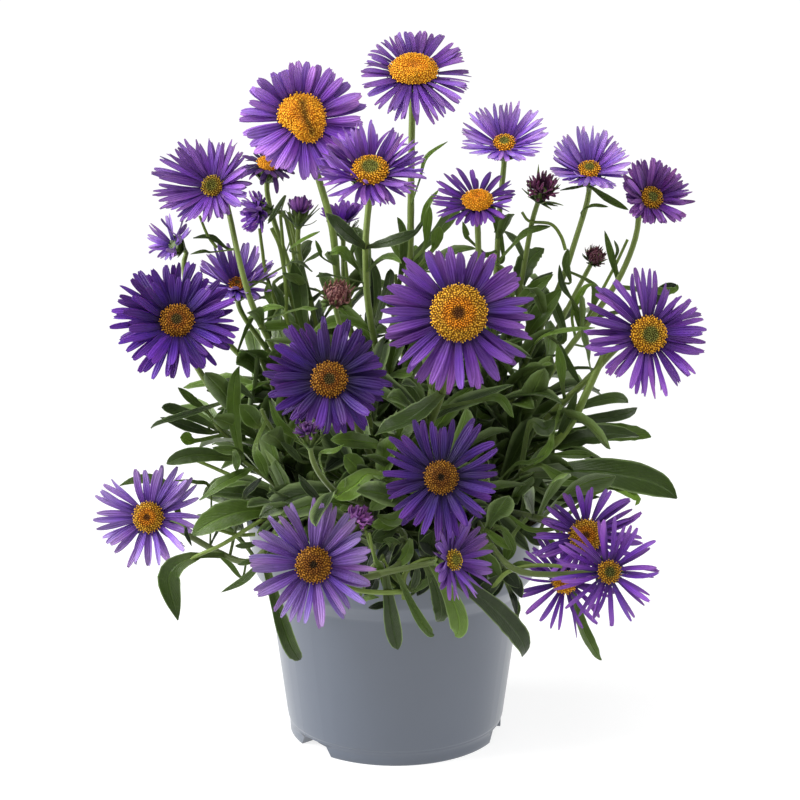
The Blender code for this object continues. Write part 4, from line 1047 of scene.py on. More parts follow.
# Shifts that were tried where a leaf met something
KEY_SHIFTS = ((0, 0, 0), (0, -2, 0), (0, 2, 1), (0, -4, 1), (1, -3, 3), (-1, 3, 3), (0, -6, 2), (0, 5, -3))
print("leaves that show one by one in the solids:", len(KEY_LEAVES))

# %% Leaves found again by their tips
# Length and width of a low and of a high leaf, turn and distance from one leaf to the next, and the heights
# between which leaves get smaller
LOW_LEAF, HIGH_LEAF = np.array((43.0, 10.5)), np.array((27.0, 5.6))
LEAF_TURN, LEAF_GAP = 137.5, 21.5
LOW, HIGH = 90.0, 200.0
# The share of a stem below its first leaf, the share that has leaves, and how many places were tried for each
BARE, LEAFY, TRIES = 0.16, 0.7, 7


def nearest_on(lines, keys, place):
    """The point on these stems that lies nearest to a place, kept off the stems' ends."""
    fine = np.concatenate([along(lines[key], np.linspace(0.08, 0.93, 40)) for key in keys])
    return fine[np.linalg.norm(fine - place, axis=1).argmin()]


def leaf_on(base, ahead, rng, turn_step, attempt=0):
    """A leaf set on a stem by the rule: turned from the last, shorter and steeper toward the top."""
    height = min(1.0, max(0.0, (base[2] - LOW) / (HIGH - LOW)))
    across = unit(np.cross(ahead, (0.2, 0.97, 0.1)))
    other = np.cross(ahead, across)
    turn = math.radians(turn_step + rng.uniform(-50, 50) * min(attempt, 3))
    out = across * math.cos(turn) + other * math.sin(turn)
    lean = math.radians(rng.uniform(38, 66) - 12 * height)
    way = ahead * math.cos(lean) + out * math.sin(lean)
    size = rng.uniform(0.8, 1.15) * (1 - 0.07 * attempt)
    length, width = (LOW_LEAF + (HIGH_LEAF - LOW_LEAF) * height) * size
    tip = base + way * length - UP * (rng.uniform(0.05, 0.34) * length)
    middle = base + way * length * 0.5
    return base, middle, tip, width, unit(ahead - way * ahead.dot(way)), height


def found(tree, tip):
    """Whether the solid has a point at this leaf tip."""
    return tree.find(tip)[2] < 0.02


# The leaves that show turn their upper sides forward and up
FACE_UP = (0, -0.85, 0.55)


def key_leaves():
    """The leaves that show one by one: set on the nearest stem, and moved as the solid's was."""
    table = {crown: [] for crown in CROWNS}
    for crown, *places, width in KEY_LEAVES:
        keys = [job[0] for job in jobs if job[1] == crown]
        base, middle, tip = np.reshape(np.array(places, float), (3, 3))
        ahead = unit(tip - base)
        up = unit(np.array(FACE_UP) - ahead * ahead.dot(FACE_UP))
        root = nearest_on(stems, keys, nearest_on(faceted, keys, base))
        shift = next((np.array(s, float) for s in KEY_SHIFTS if found(trees[crown], tip + s)), np.zeros(3))
        table[crown].append((root, middle + shift * 0.6, tip + shift, width, up, 0.55))
    return table


def ruled_leaves():
    """The solid's leaves by rule: for each place on a stem, the attempt whose tip the solid has."""
    table = {crown: [] for crown in CROWNS}
    for number, (key, crown, *_) in enumerate(jobs):
        line = faceted[key]
        length = np.linalg.norm(np.diff(line, axis=0), axis=1).sum()
        amount = max(1, int(length * LEAFY / LEAF_GAP))
        for i in range(amount):
            share = BARE + LEAFY * (i + 0.5) / amount
            base, ahead = along(line, (share, share + 0.02))
            ahead = unit(ahead - base)
            for attempt in range(TRIES):
                leaf = leaf_on(base, ahead, draws(number, i, attempt), LEAF_TURN * i + 50 * number, attempt)
                if found(trees[crown], leaf[2]):
                    table[crown].append((along(stems[key], (share,))[0], *leaf[1:]))
                    break
    return table


keyed, ruled = key_leaves(), ruled_leaves()
print("leaves found again:", sum(map(len, keyed.values())), "and", sum(map(len, ruled.values())))

# %% [markdown]
# ## The leaves that the photograph shows
#
# Besides the solid's own leaves, some hundred and thirty more can be told apart in the photograph: dark
# upright ones behind the blooms, grey-green backs of leaves that turn over, small bracts where a side shoot
# leaves its stem. Each is read off as a base, a middle and a tip, with its depth, its width and how light it
# is; that lightness is painted into its colour, so the dark ones carry painted shade and the light ones
# painted light. The middle lies 2 mm nearer than the base and the tip 3 mm. A thin stalk joins it to the
# nearest stem.

# %% Leaves read off the photograph
# x and z of the base, the middle and the tip, then depth, width and lightness, which paints light and shade
SEEN_LEAVES = (
    (-65.5, 194.5, -71.5, 199, -78.5, 199, 4, 3.1, 0.1), (-72, 193, -75, 193.5, -80, 192.5, 6, 1.6, 0.1),
    (-43.5, 214.5, -47.5, 208, -50.5, 203.5, 16, 2.4, 0.1),
    (-41, 194.5, -35.5, 198.5, -29, 202, -2, 2.3, 0.1),
    (-42.5, 188.5, -37.5, 190, -32, 186.5, -2, 2.7, 0.1), (-35, 190, -31, 192.5, -28, 194.5, -4, 1.9, 0.1),
    (-23, 187, -26.5, 187.5, -29.5, 187, -24, 1.9, 0.1), (-28, 192, -29, 195, -30.5, 199, -6, 1.9, 0.1),
    (-14.5, 189.5, -20.5, 195.5, -24.5, 194.5, -18, 5.3, 0.1),
    (-47.5, 181.5, -45.5, 176, -44, 170.5, 6, 3.5, -0.25), (-51, 181, -50, 176.5, -49, 173, 4, 3.1, 0.1),
    (-57, 168.5, -49, 173, -42.5, 173, -6, 2.7, 0.1),
    (-36.5, 173, -32.5, 173, -29.5, 173.5, -12, 2.3, 0.45),
    (-37, 174, -36.5, 182, -36.5, 189.5, 8, 5.5, -0.25), (-16, 194, -15, 198.5, -13, 203.5, -20, 2.2, 0.1),
    (-8, 170.5, -7, 182.5, -10, 192.5, 2, 3.5, -0.25), (10, 202, 13, 211, 17, 217, 14, 3.2, 0.1),
    (11.5, 194.5, 12.5, 203.5, 13.5, 211, 10, 3.9, 0.8), (14.5, 194, 16, 199, 17, 203.5, 4, 5.4, 0.8),
    (29, 198, 27.5, 200.5, 26, 205.5, 2, 2.7, 0.1), (37, 193, 33, 192, 29, 192.5, 2, 2.7, 0.1),
    (42.5, 190.5, 40, 202, 36.5, 214.5, 6, 3.1, 0.1), (45, 196, 50.5, 201.5, 59.5, 204, -3, 3.5, 0.1),
    (67.5, 158, 63.5, 170, 59.5, 178, 8, 4.7, -0.25), (75.5, 156.5, 72.5, 166.5, 69, 175, 4, 3.5, -0.25),
    (68.5, 181.5, 66.5, 188.5, 67, 195, 2, 3.5, 0.1), (69, 175, 65, 181, 63.5, 189, 0, 2.7, -0.25),
    (87, 182.5, 84, 192.5, 81, 202, 2, 3.1, -0.25), (85.5, 190, 86, 194.5, 84.5, 198.5, 0, 1.5, 0.1),
    (75.5, 218.5, 81.5, 214.5, 90, 210, 2, 3.1, 0.1), (74.5, 219, 69.5, 218.5, 63.5, 217.5, 2, 1.5, 0.1),
    (72.5, 209, 76.5, 211.5, 82.5, 211, 4, 1.6, 0.1), (77, 181.5, 79, 177, 77, 171.5, 2, 2.7, 0.1),
    (55.5, 160.5, 63.5, 164, 77, 165.5, -8, 2.3, 0.8), (63, 159, 67, 151.5, 72, 143, -6, 3.1, 0.1),
    (46.5, 172, 54, 180, 61, 185.5, -2, 5.4, 0.8), (-73.5, 132.5, -79, 137.5, -84, 142.5, -10, 3.9, 0.8),
    (-71, 125, -77.5, 127, -90.5, 131.5, -14, 4.6, 0.1),
    (-77, 122.5, -80.5, 124, -82.5, 124.5, -18, 5.4, 0.8),
    (-51.5, 131.5, -54.5, 136, -58, 140, -32, 7.5, 0.45),
    (-34.5, 126.5, -42.5, 133.5, -46.5, 143, -38, 3.3, 0.1),
    (-51.5, 126, -49, 119.5, -47, 114.5, -44, 4.4, 0.1), (-60, 123.5, -59, 120, -59, 116, -38, 3.3, 0.1),
    (-58, 122, -63.5, 123.5, -68, 124.5, -36, 3.7, 0.1),
    (-33.5, 121.5, -38, 126.5, -41.5, 130, -50, 2.9, 0.1),
    (-27, 126.5, -21.5, 128.5, -18, 131, -60, 2.1, 0.45),
    (-26.5, 108.5, -31.5, 114.5, -34.5, 119.5, -58, 3.6, 0.1),
    (-24.5, 110.5, -20.5, 114.5, -17, 119, -62, 3.6, 0.8),
    (-70.5, 105.5, -76, 109, -83.5, 110, -28, 1.9, 0.1), (-56.5, 105.5, -53, 111, -49, 115, -44, 3, 0.1),
    (-12, 118, -14.5, 123, -18, 127, -60, 7.9, 0.45), (-7, 120, -14, 116.5, -21.5, 112, -63, 9.3, 0.45),
    (1, 117.5, -4.5, 111.5, -9, 108, -64, 7.1, 0.1), (6, 109.5, 0, 104.5, -6.5, 106.5, -66, 5, 0.1),
    (2, 89, -1, 95.5, -4, 97.5, -66, 5.7, 0.1), (11, 88.5, 12, 94.5, 14.5, 100.5, -64, 7.2, 0.1),
    (60, 117, 69, 117.5, 75.5, 117.5, -18, 3.9, 0.8), (59, 128, 57.5, 123.5, 52, 117, -32, 3.8, 0.8),
    (43.5, 116.5, 50, 119, 55.5, 122, -38, 1.9, 0.1), (54.5, 116.5, 62, 112, 69.5, 111.5, -34, 5.3, 0.1),
    (79.5, 107.5, 91, 104, 90.5, 101.5, -33, 4.5, 0.8), (55, 106, 62.5, 104, 77.5, 104, -30, 4.5, -0.25),
    (40.5, 101, 50, 95.5, 63, 96.5, -46, 2.2, 1.1), (40.5, 96, 41.5, 90.5, 40.5, 85, -50, 3.7, 0.8),
    (31.5, 143, 38.5, 144, 43.5, 137, -42, 3.7, 0.1), (51, 131, 56.5, 129.5, 60, 133.5, -28, 6.8, 0.1),
    (-57, 77, -61, 82.5, -65, 86, -48, 2.2, 0.1), (-49, 85, -55, 78.5, -64, 73.5, -52, 2.9, 0.1),
    (-49.5, 90.5, -54.5, 90, -59, 90, -48, 2.6, 0.1), (-51, 84.5, -54.5, 84, -58, 83.5, -50, 2.2, 0.1),
    (-78.5, 97, -77, 94, -75, 90, -48, 1.8, 0.1), (-1, 76, -6, 74, -9.5, 73.5, -70, 2.9, 0.1),
    (-13, 76, -9, 77.5, -5.5, 78, -72, 2.8, 1.1), (4.5, 78.5, 9, 83, 13, 86, -74, 2.5, 0.1),
    (39.5, 82.5, 43.5, 79.5, 46, 74, -60, 5.1, 0.1), (42, 76, 44, 71, 45, 66.5, -60, 1.8, 0.1),
    (39, 83, 35, 77.5, 29, 74.5, -64, 5.1, 0.3), (40.5, 79.5, 44.5, 76.5, 46.5, 72, -54, 4.6, -0.1),
    (42.5, 73, 44.5, 69.5, 45, 65.5, -56, 2.9, -0.1), (39.5, 82, 45.5, 85.5, 52, 85.5, -58, 3.4, 0.6),
    (44, 93, 43, 88, 41, 83.5, -46, 4.1, 0.7), (17, 98, 13.5, 93.5, 12, 88.5, -56, 7.3, -0.2),
    (-7, 93, -0.5, 93, 6, 89.5, -54, 5.1, -0.2), (-2, 91.5, 0, 87, 3, 84.5, -62, 4.5, -0.1),
    (-3.5, 81, -4.5, 87, -7.5, 94.5, -74, 2.5, 0.8), (5, 81.5, 7.5, 85.5, 8, 91, -76, 3.2, 0.3),
    (5, 81, 9, 83, 13.5, 87, -76, 2.8, 0.8), (37.5, 89.5, 37.5, 86, 35.5, 82, -50, 5.9, -0.2),
    (22, 95, 25.5, 90.5, 27, 86, -52, 5.9, -0.2), (-16.5, 93.5, -12.5, 89.5, -10.5, 86, -52, 5.1, -0.2),
    (13, 95, 16.5, 90.5, 18.5, 86, -56, 5.5, -0.2), (3.5, 96.5, 5.5, 92, 9.5, 87, -56, 5.5, -0.2),
    (46.5, 94.5, 50.5, 92.5, 54.5, 88.5, -42, 4.8, -0.1), (30.5, 96, 32.5, 91, 32, 86, -50, 5.5, -0.2),
    (-3.5, 98, -7, 93.5, -8.5, 88.5, -56, 5.5, -0.2), (-22, 89, -24, 84.5, -24, 79.5, -50, 4.8, -0.1),
    (-35.5, 82, -41.5, 85.5, -47.5, 86, -42, 4.5, -0.1), (55, 89.5, 59.5, 86, 61, 82, -34, 4.5, -0.1),
    # Over the front of the rim
    (4.5, 105.5, -2, 102, -8.5, 101, -60, 6.5, 0.1), (1, 100, -3.5, 98, -8, 96.5, -62, 5.5, -0.25),
    (10.5, 100.5, 12, 96, 14.5, 91, -64, 8, -0.1), (2.5, 96.5, -1.5, 94, -6.5, 91.5, -66, 6, 0.1),
    (0, 96, -4, 90, -6, 83, -68, 7, -0.25), (3.5, 95, 1, 88.5, -2.5, 82, -68, 7.5, -0.1),
    (6, 93.5, 8, 87.5, 9.5, 79.5, -69, 7, 0.1), (12, 85.5, 8.5, 83.5, 5, 81, -71, 4.5, 0.45),
    (14.5, 91, 12, 86, 8, 78, -70, 7, -0.25), (18, 85, 16, 80, 13, 76, -69, 6, -0.1),
    (24, 90.5, 25.5, 84.5, 26, 76.5, -68, 7.5, -0.25), (27, 92, 29.5, 86.5, 32, 79.5, -68, 7, -0.1),
    (30.5, 93, 34, 88.5, 37.5, 82.5, -67, 7, 0.1), (39, 85.5, 34, 81, 28.5, 76.5, -70, 6, 0.1),
    (37, 89, 40.5, 84, 45, 79, -64, 6, -0.25), (41.5, 77, 43, 73.5, 44, 68, -62, 3, -0.25),
    (33, 98.5, 37, 95.5, 42.5, 92, -60, 3.5, 0.8), (38, 99.5, 41, 96, 43, 91, -60, 3.5, 0.45),
    (35, 94, 32, 91, 29, 86.5, -64, 4.5, 0.45), (-8, 94, -9.5, 89.5, -11.5, 83, -66, 6, -0.25),
    (-3.5, 91.5, -0.5, 85.5, 2.5, 78, -69, 6.5, -0.25), (-5.5, 85, -8, 81, -10.5, 76.5, -69, 5, 0.1),
    (5.5, 97, 4, 92, 0.5, 88.5, -68, 5.5, 0.45),
    # Broad leaves between the stems, dark with painted shade, and leaves that curl by the right-hand blooms
    (51, 172, 55.5, 178.5, 61.5, 185.5, 6, 8, -0.25), (53, 161.5, 58, 170, 65, 179, 4, 8.5, -0.25),
    (101, 172, 105, 177, 110.5, 180.5, 8, 5.5, -0.1), (69.5, 169, 73.5, 179, 77.5, 181.5, 2, 3, 0.6),
    (76, 181.5, 78, 177.5, 77, 171.5, 2, 3, 0.3), (-35.5, 161.5, -37.5, 178.5, -40, 189.5, 4, 7, -0.25),
    (-9.5, 163.5, -8.5, 178, -10, 191.5, 10, 6.5, -0.25), (64.5, 143.5, 63.5, 153, 62, 160, -14, 4.4, 0.6),
    (62, 122.5, 66.5, 132.5, 69.5, 142, -16, 4, 0.3),
    # A bent leaf out to the left, and one high by the tallest stem
    (-75, 84.5, -84, 78, -81, 61, -47, 8.6, 0.6), (9.5, 221.5, 12, 230, 20, 236, 2, 1.9, 0.45),
)
print("leaves read off the photograph:", len(SEEN_LEAVES))

# %% Side shoots read off the photograph
# Thin side shoots seen between the blooms: points from the top down, and radius
SIDE_SHOOTS = (
    (((-76, 2, 207.5), (-73, 2, 200), (-69.5, 2, 195)), 0.6),
    (((-53.5, 10, 202), (-52.5, 10, 193.5), (-51, 10, 183.5), (-44, 12, 160)), 0.8),
    (((-48.5, 6, 202.5), (-45, 6, 194), (-43, 6, 178), (-43, 6, 166), (-38, 10, 145)), 0.9),
    (((-45.5, 14, 207), (-44.5, 14, 193), (-44, 14, 183), (-39.5, 14, 165), (-34, 16, 140)), 0.8),
    (((-44.5, 18, 208.5), (-42, 18, 197), (-40.5, 18, 188), (-39, 18, 172.5), (-33, 20, 145)), 0.7),
    (((-42, 10, 208.5), (-39, 10, 197.5), (-37.5, 10, 189), (-35.5, 10, 169.5), (-32, 14, 145)), 0.75),
    (((48.5, -6, 209.5), (51.5, -6, 206), (59.5, -6, 205), (63.5, -6, 200.5), (65.5, -6, 195)), 0.65),
    (((91, 6, 198), (87, 6, 189), (82.5, 6, 180), (72, 4, 160)), 0.7),
    (((-75, -34, 118.5), (-68, -34, 115.5), (-60.5, -34, 112)), 0.75),
    (((-70.5, -46, 96.5), (-59.5, -46, 93), (-52, -46, 93)), 0.7),
    (((-10.5, -72, 102), (-8, -72, 94.5), (-5, -72, 86.5)), 0.6),
    (((16.5, -76, 92.5), (10.5, -76, 92), (5.5, -76, 89.5), (3, -76, 85), (3.5, -75, 77.5)), 1.0),
    (((-18.5, -77, 83), (-11.5, -77, 81), (-3.5, -77, 80.5), (3, -76, 80.5)), 0.9),
    (((-9, -74, 101.5), (-7.5, -74, 93.5), (-5.5, -74, 87), (0, -74, 81.5)), 0.5),
    (((-4, -73, 91.5), (-1, -73, 85.5), (3.5, -73, 81)), 0.5),
    (((59.5, -72, 88.5), (53.5, -72, 89), (46.5, -72, 88.5), (39.5, -72, 86), (34.5, -72, 80)), 0.8),
    (((81.5, -12, 157.5), (78.5, -14, 151.5), (74, -16, 142), (69, -16, 131), (62, -16, 121.5),
      (55.5, -14, 116.5)), 1.6),
    (((-82, -47, 80), (-74, -47.5, 85), (-64, -49, 90), (-53.5, -48, 96.5), (-46, -44, 100)), 0.8),
    (((-19.5, 4, 189.5), (-18, 4, 174.5), (-17, 4, 154.5), (-14, 8, 140)), 0.8),
)


def side_shoots(crown):
    """Tubes along the side shoots whose foot lies nearest to this crown."""
    shapes = []
    for points, radius in SIDE_SHOOTS:
        points = np.array(points, float)
        foot = points[-1, :2]
        if crown == min(CROWNS, key=lambda name: np.linalg.norm(foot - CROWNS[name])):
            line = spine(points, points[1] - points[0], points[-1] - points[-2], np.linspace(0, 1, 24))
            rings = tubes(line[None], radius * np.linspace(0.85, 1.1, 24)[None])
            shapes.append(shape_of(rings, srgb(112, 132, 56), 0.25))
    return shapes


print("side shoots:", len(SIDE_SHOOTS))

# %% Leaves on stalks
# Points on a stalk, how much a root behind the leaf counts as nearer than one beside it, and how far the
# base, the middle and the tip stand back
STALK, IN_LINE, BACK = 5, 0.5, (0, -2, -3)


def seen_leaves():
    """Each leaf's path is a curve through the stem's nearest point, its base, its middle and its tip."""
    crown_of = {job[0]: job[1] for job in jobs}
    rows = {crown: [] for crown in CROWNS}
    fine = {key: along(stems[key], np.linspace(0.05, 0.97, 50)) for key in stems}
    # light is how light the leaf looked, painted into its colour as painted light and painted shade
    for *flat, depth, width, light in SEEN_LEAVES:
        base, middle, tip = (np.array((x, depth + y, z)) for x, y, z in zip(flat[::2], BACK, flat[1::2]))
        lean = IN_LINE * unit(middle - base) + UP * IN_LINE / 2
        costs = {key: np.linalg.norm(line - base, axis=1) + (line - base) @ lean
                 for key, line in fine.items()}
        key = min(costs, key=lambda name: costs[name].min())
        root = fine[key][costs[key].argmin()]
        stalk = np.linalg.norm(base - root) + 0.5
        share = stalk / (stalk + np.linalg.norm(middle - base) + np.linalg.norm(tip - middle))
        stations = np.concatenate([np.linspace(0, share, STALK, endpoint=False),
                                   share + (1 - share) * np.linspace(0, 1, len(KEY_ROWS) - STALK)])
        path = spine([root, base, middle, tip], base - root + (0, 0, 1.0), (tip - middle) * 0.9, stations)
        rows[crown_of[key]].append((path, share, width, light))
    return rows


def make_seen(rows, seed):
    """Leaf blades along whole paths: thin up to the base, then the leaf's form."""
    if not rows:
        return []
    path, _, width, light = columns(rows)
    width = width[:, None]
    rng = draws(seed)
    shares = np.concatenate([np.zeros(STALK), np.linspace(0, 1, len(KEY_ROWS) - STALK)])
    ways = twisted(rng, path, (0, -0.88, 0.48), shares, 0.35, 1.3, 0.2)
    form = mix(outline(SPOON, shares), outline(LANCE, shares), rng.uniform(0.35, 1.0, (len(rows), 1)))
    form = np.where(np.arange(len(shares)) < STALK, 0.2 + 0.6 / np.maximum(width, 3), form)
    # Painted light and shade: leaves high up are painted lighter, leaves low down darker
    raised = 0.22 * np.clip((path[:, -1, 2] - 120) / 50, 0, 1)
    painted_shade_low = 0.4 * np.clip((98 - path[:, -1, 2]) / 20, 0, 1)
    tone = light + raised - painted_shade_low
    return [leaf_shape(rng, path, ways, form, width, shares, FINE_TOP, 0.4, 0.12, 0.05, 0 * tone, tone)]


seen = seen_leaves()
print("leaves on each crown:", {crown: len(rows) for crown, rows in seen.items()})

# %% [markdown]
# ## The leaves between
#
# The living plant is far denser than any solid model: leaves crowd every stem, and a tuft of long
# spoon-shaped ones rises from each crown. They are drawn by the same rule with other seeds, and a leaf is
# left out when it would pass through a bloom, stand in front of its face or hide a leaf that the photograph
# shows.

# %% Where there is room for a leaf
# The outline of the foliage seen from the front, as (x, z) on the plane y = 0, and the viewpoint
FOLIAGE = (
    (-46, 50), (-54, 59), (-60, 69), (-64, 76), (-74, 76), (-81, 82), (-82, 88), (-78, 98), (-82, 103),
    (-79, 111), (-92, 107), (-98, 110), (-94, 119), (-94, 125), (-91, 130), (-88, 138), (-81, 143),
    (-79, 149), (-72, 148), (-64, 146), (-62, 157), (-62, 166), (-59, 175), (-54, 179), (-52, 187),
    (-44, 190), (-42, 198), (-37, 203), (-30, 201), (-28, 191), (-25, 198), (-26, 208), (-22, 210),
    (-18, 203), (-9, 202), (0, 204), (0, 209), (3, 208), (6, 205), (6, 216), (11, 219), (17, 219),
    (23, 218), (33, 208), (37, 214), (41, 208), (47, 212), (54, 208), (61, 205), (64, 196), (67, 195),
    (76, 183), (80, 175), (79, 157), (82, 155), (80, 143), (82, 137), (92, 136), (98, 132), (101, 121),
    (97, 115), (103, 109), (115, 99), (115, 93), (98, 91), (82, 94), (70, 94), (61, 86), (57, 78),
    (60, 67), (52, 63), (53, 50), (53, 28), (47, 31), (34, 48), (26, 36), (18, 36), (13, 48), (3, 48),
    (2, 30), (-3, 30), (-5, 48), (-23, 49), (-37, 48), (-37, 27), (-43, 29),
)
VIEW_DISTANCE, VIEW_HEIGHT = 606.0, 250.0
# How near counts as in front of a leaf on the picture, and the drum round a bloom: from behind its disc to
# before it, and wider than its reach
NEAR_LEAF = 0.004
DRUM_BACK, DRUM_FRONT, DRUM_WIDER = -3.5, 26, 1.0


def inside_foliage(points):
    """Whether points, seen from the front, lie within the foliage's outline: an even-odd count of sides."""
    scale = VIEW_DISTANCE / (VIEW_DISTANCE + points[..., 1])
    x, z = points[..., 0] * scale, VIEW_HEIGHT + (points[..., 2] - VIEW_HEIGHT) * scale
    inside = np.zeros(x.shape, bool)
    for (x0, z0), (x1, z1) in zip(FOLIAGE, FOLIAGE[1:] + FOLIAGE[:1]):
        if z0 != z1:
            inside ^= ((z0 > z) != (z1 > z)) & (x < x0 + (z - z0) * (x1 - x0) / (z1 - z0))
    return inside


def hides_a_leaf(points):
    """Whether any of a leaf's points stands in front of a leaf that the photograph shows."""
    shown = [path[STALK:] for rows in seen.values() for path, *_ in rows]
    shown += [bent_lines(*(np.array([row[k]]) for k in range(3)), np.linspace(0.3, 1, 8))[0]
              for rows in keyed.values() for row in rows]
    shown = np.concatenate(shown)
    flat, depth = on_picture(shown), shown[:, 1]
    mine = on_picture(points)
    hidden = np.zeros(len(points), bool)
    for number, leaf in enumerate(mine):
        near = np.linalg.norm(leaf[:, None] - flat, axis=-1) < NEAR_LEAF
        hidden[number] = (near & (points[number, :, 1][:, None] < depth)).any()
    return hidden


def clear_of_blooms(table):
    """Leaves whose points all stay out of a flat drum round each bloom: its reach wide, deeper in front."""
    if not table:
        return table
    points = bent_lines(*columns(table)[:3], np.linspace(0.12, 1, 7))
    good = inside_foliage(points[:, 2:]).all(axis=1) & ~hides_a_leaf(points)
    for key, (_, _, _, reach, *_) in HEADS.items():
        centre, normal = seat(key)
        away = points - centre
        depth = away @ normal
        wide = np.linalg.norm(away - depth[..., None] * normal, axis=-1)
        in_drum = (depth > DRUM_BACK) & (depth < DRUM_FRONT) & (wide < reach + DRUM_WIDER)
        good &= ~in_drum.any(axis=1)
    return [row for row, keep in zip(table, good) if keep]


print("sides of the foliage's outline:", len(FOLIAGE))

# %% More leaves, kept clear of the blooms
FILL_GAP = 6.0
ROSETTE, ROSETTE_HEIGHT = 30, 86.0


def fill_leaves():
    """Leaves on every stem at a closer spacing, densest low down."""
    table = {crown: [] for crown in CROWNS}
    for number, (key, crown, *_) in enumerate(jobs):
        line = stems[key]
        length = np.linalg.norm(np.diff(line, axis=0), axis=1).sum()
        amount = int(length / FILL_GAP)
        rng = draws(900 + number)
        for i in range(amount):
            share = 0.04 + 0.8 * (i + rng.uniform(0, 1)) / amount
            if rng.uniform() < max(0.0, share - 0.35) * 1.5:
                continue
            base, ahead = along(line, (share, share + 0.02))
            leaf = leaf_on(base, unit(ahead - base), draws(7000 + number, i), LEAF_TURN * i + 31 * number)
            table[crown].append(leaf)
    return {crown: clear_of_blooms(rows) for crown, rows in table.items()}


def rosettes():
    """Long leaves from each crown: out at every angle, up at 34 to 78 degrees, arching over."""
    table = {}
    for number, (crown, (x, y)) in enumerate(CROWNS.items()):
        rng = draws(500 + number)
        rows = []
        for i in range(ROSETTE):
            turn = math.radians(LEAF_TURN * i + rng.uniform(-15, 15))
            out = polar(1.0, turn, 0.0)
            rise = math.radians(rng.uniform(34, 78))
            length = rng.uniform(40, 60)
            base = np.array((x, y, ROSETTE_HEIGHT)) + out * 4.0
            way = out * math.cos(rise) + UP * math.sin(rise)
            tip = base + way * length - UP * (rng.uniform(0.05, 0.3) * length)
            middle = base + way * length * 0.5
            up = unit(UP - way * way[2])
            rows.append((base, middle, tip, rng.uniform(8.5, 12.5), up, 0.0))
        table[crown] = clear_of_blooms(rows)
    return table


filled, tufted = fill_leaves(), rosettes()
print("leaves between:", sum(map(len, filled.values())), "and in tufts:", sum(map(len, tufted.values())))

# %% Dress each crown in its leaves
for number, crown in enumerate(CROWNS):
    # Painted shade: broad leaves high in the clump are tinted darker
    shaded = np.array([row[3] > 8.5 and row[2][2] > 125 for row in keyed[crown]])
    shapes = make_seen(seen[crown], 80 + number) + side_shoots(crown)
    if keyed[crown]:
        shapes.insert(0, make_leaves(keyed[crown], KEY_ROWS, FINE_TOP, 40 + number, 0.02 - 0.4 * shaded))
    for table, seed, tone in ((ruled, 50, 0.05), (filled, 60, 0.0), (tufted, 70, 0.05)):
        shapes.append(make_leaves(table[crown], LEAF_ROWS, TOP, seed + number, tone))
    dress_crown(crown, "leaves", shapes, leaf_finish)

# %% [markdown]
# ## Petals
#
# Each bloom is a head of many small flowers. The ones round its edge each carry one strap-shaped ray, which
# is what we call a petal: narrow at the root, widest at two thirds, blunt or notched at the tip, deep
# blue-violet near the disc and pinker outward. The deep colour near the disc is partly painted shade where
# the petals overlap, the rolled-back edges get painted shade, and the lower petals get painted light from
# above. A heading that climbs from the root and bends on the way is added up step by step into the petal's
# middle line, so a flat bloom, a cup and a drooping skirt come from the same few numbers.

# %% Middle lines and tones of petals
# Colour near the disc, partly painted shade where petals overlap, in the middle and at the tip
PALETTE = {
    "violet": ((36, 9, 82), (96, 38, 152), (142, 90, 182)),
    "lilac": ((46, 15, 98), (110, 54, 164), (154, 110, 190)),
    "dark": ((20, 3, 56), (57, 14, 122), (102, 48, 158)),
    "light": ((60, 25, 122), (127, 80, 182), (174, 142, 206)),
    "plum": ((42, 5, 68), (100, 34, 144), (156, 100, 178)),
    "maroon": ((44, 10, 36), (84, 30, 68), (120, 60, 96)),
    "pink": ((92, 38, 106), (148, 76, 164), (184, 118, 196)),
}
# Share of a petal's length where its colour is full
FULL_AT = 0.42
PETAL_ROWS = np.array((0.0, 0.12, 0.28, 0.45, 0.62, 0.78, 0.9, 0.965, 1.0))
BLUNT = ((0.0, 0.5), (0.15, 0.62), (0.35, 0.82), (0.55, 0.96), (0.72, 1.0), (0.86, 0.95), (0.95, 0.74),
         (1.0, 0.38))
SHARP = ((0.0, 0.5), (0.15, 0.66), (0.35, 0.9), (0.5, 1.0), (0.68, 0.93), (0.84, 0.68), (0.95, 0.36),
         (1.0, 0.12))


def rays(turn, root, level, length, rise, curl, sway, rows):
    """Paths and frames of rays round an axis: place = root + running sum of headings.

    The heading at share s is at angle rise + curl * s**1.3 above the plane and turned by sway * s.
    """
    def heading(s):
        """The ways ahead and aside at a share of the ray."""
        pitch = (rise[:, None] + curl[:, None] * s**1.3)[..., None]
        out = polar(1.0, turn[:, None] + sway[:, None] * s, 0.0)
        return out * np.cos(pitch) + UP * np.sin(pitch), np.cross(UP, out)

    steps = heading((rows[1:] + rows[:-1]) / 2)[0] * (np.diff(rows)[:, None] * length[:, None, None])
    start = polar(root, turn, level)[:, None]
    path = start + np.concatenate([0 * steps[:, :1], np.cumsum(steps, axis=1)], axis=1)
    ahead, side = heading(rows)
    return path, side, np.cross(ahead, side)


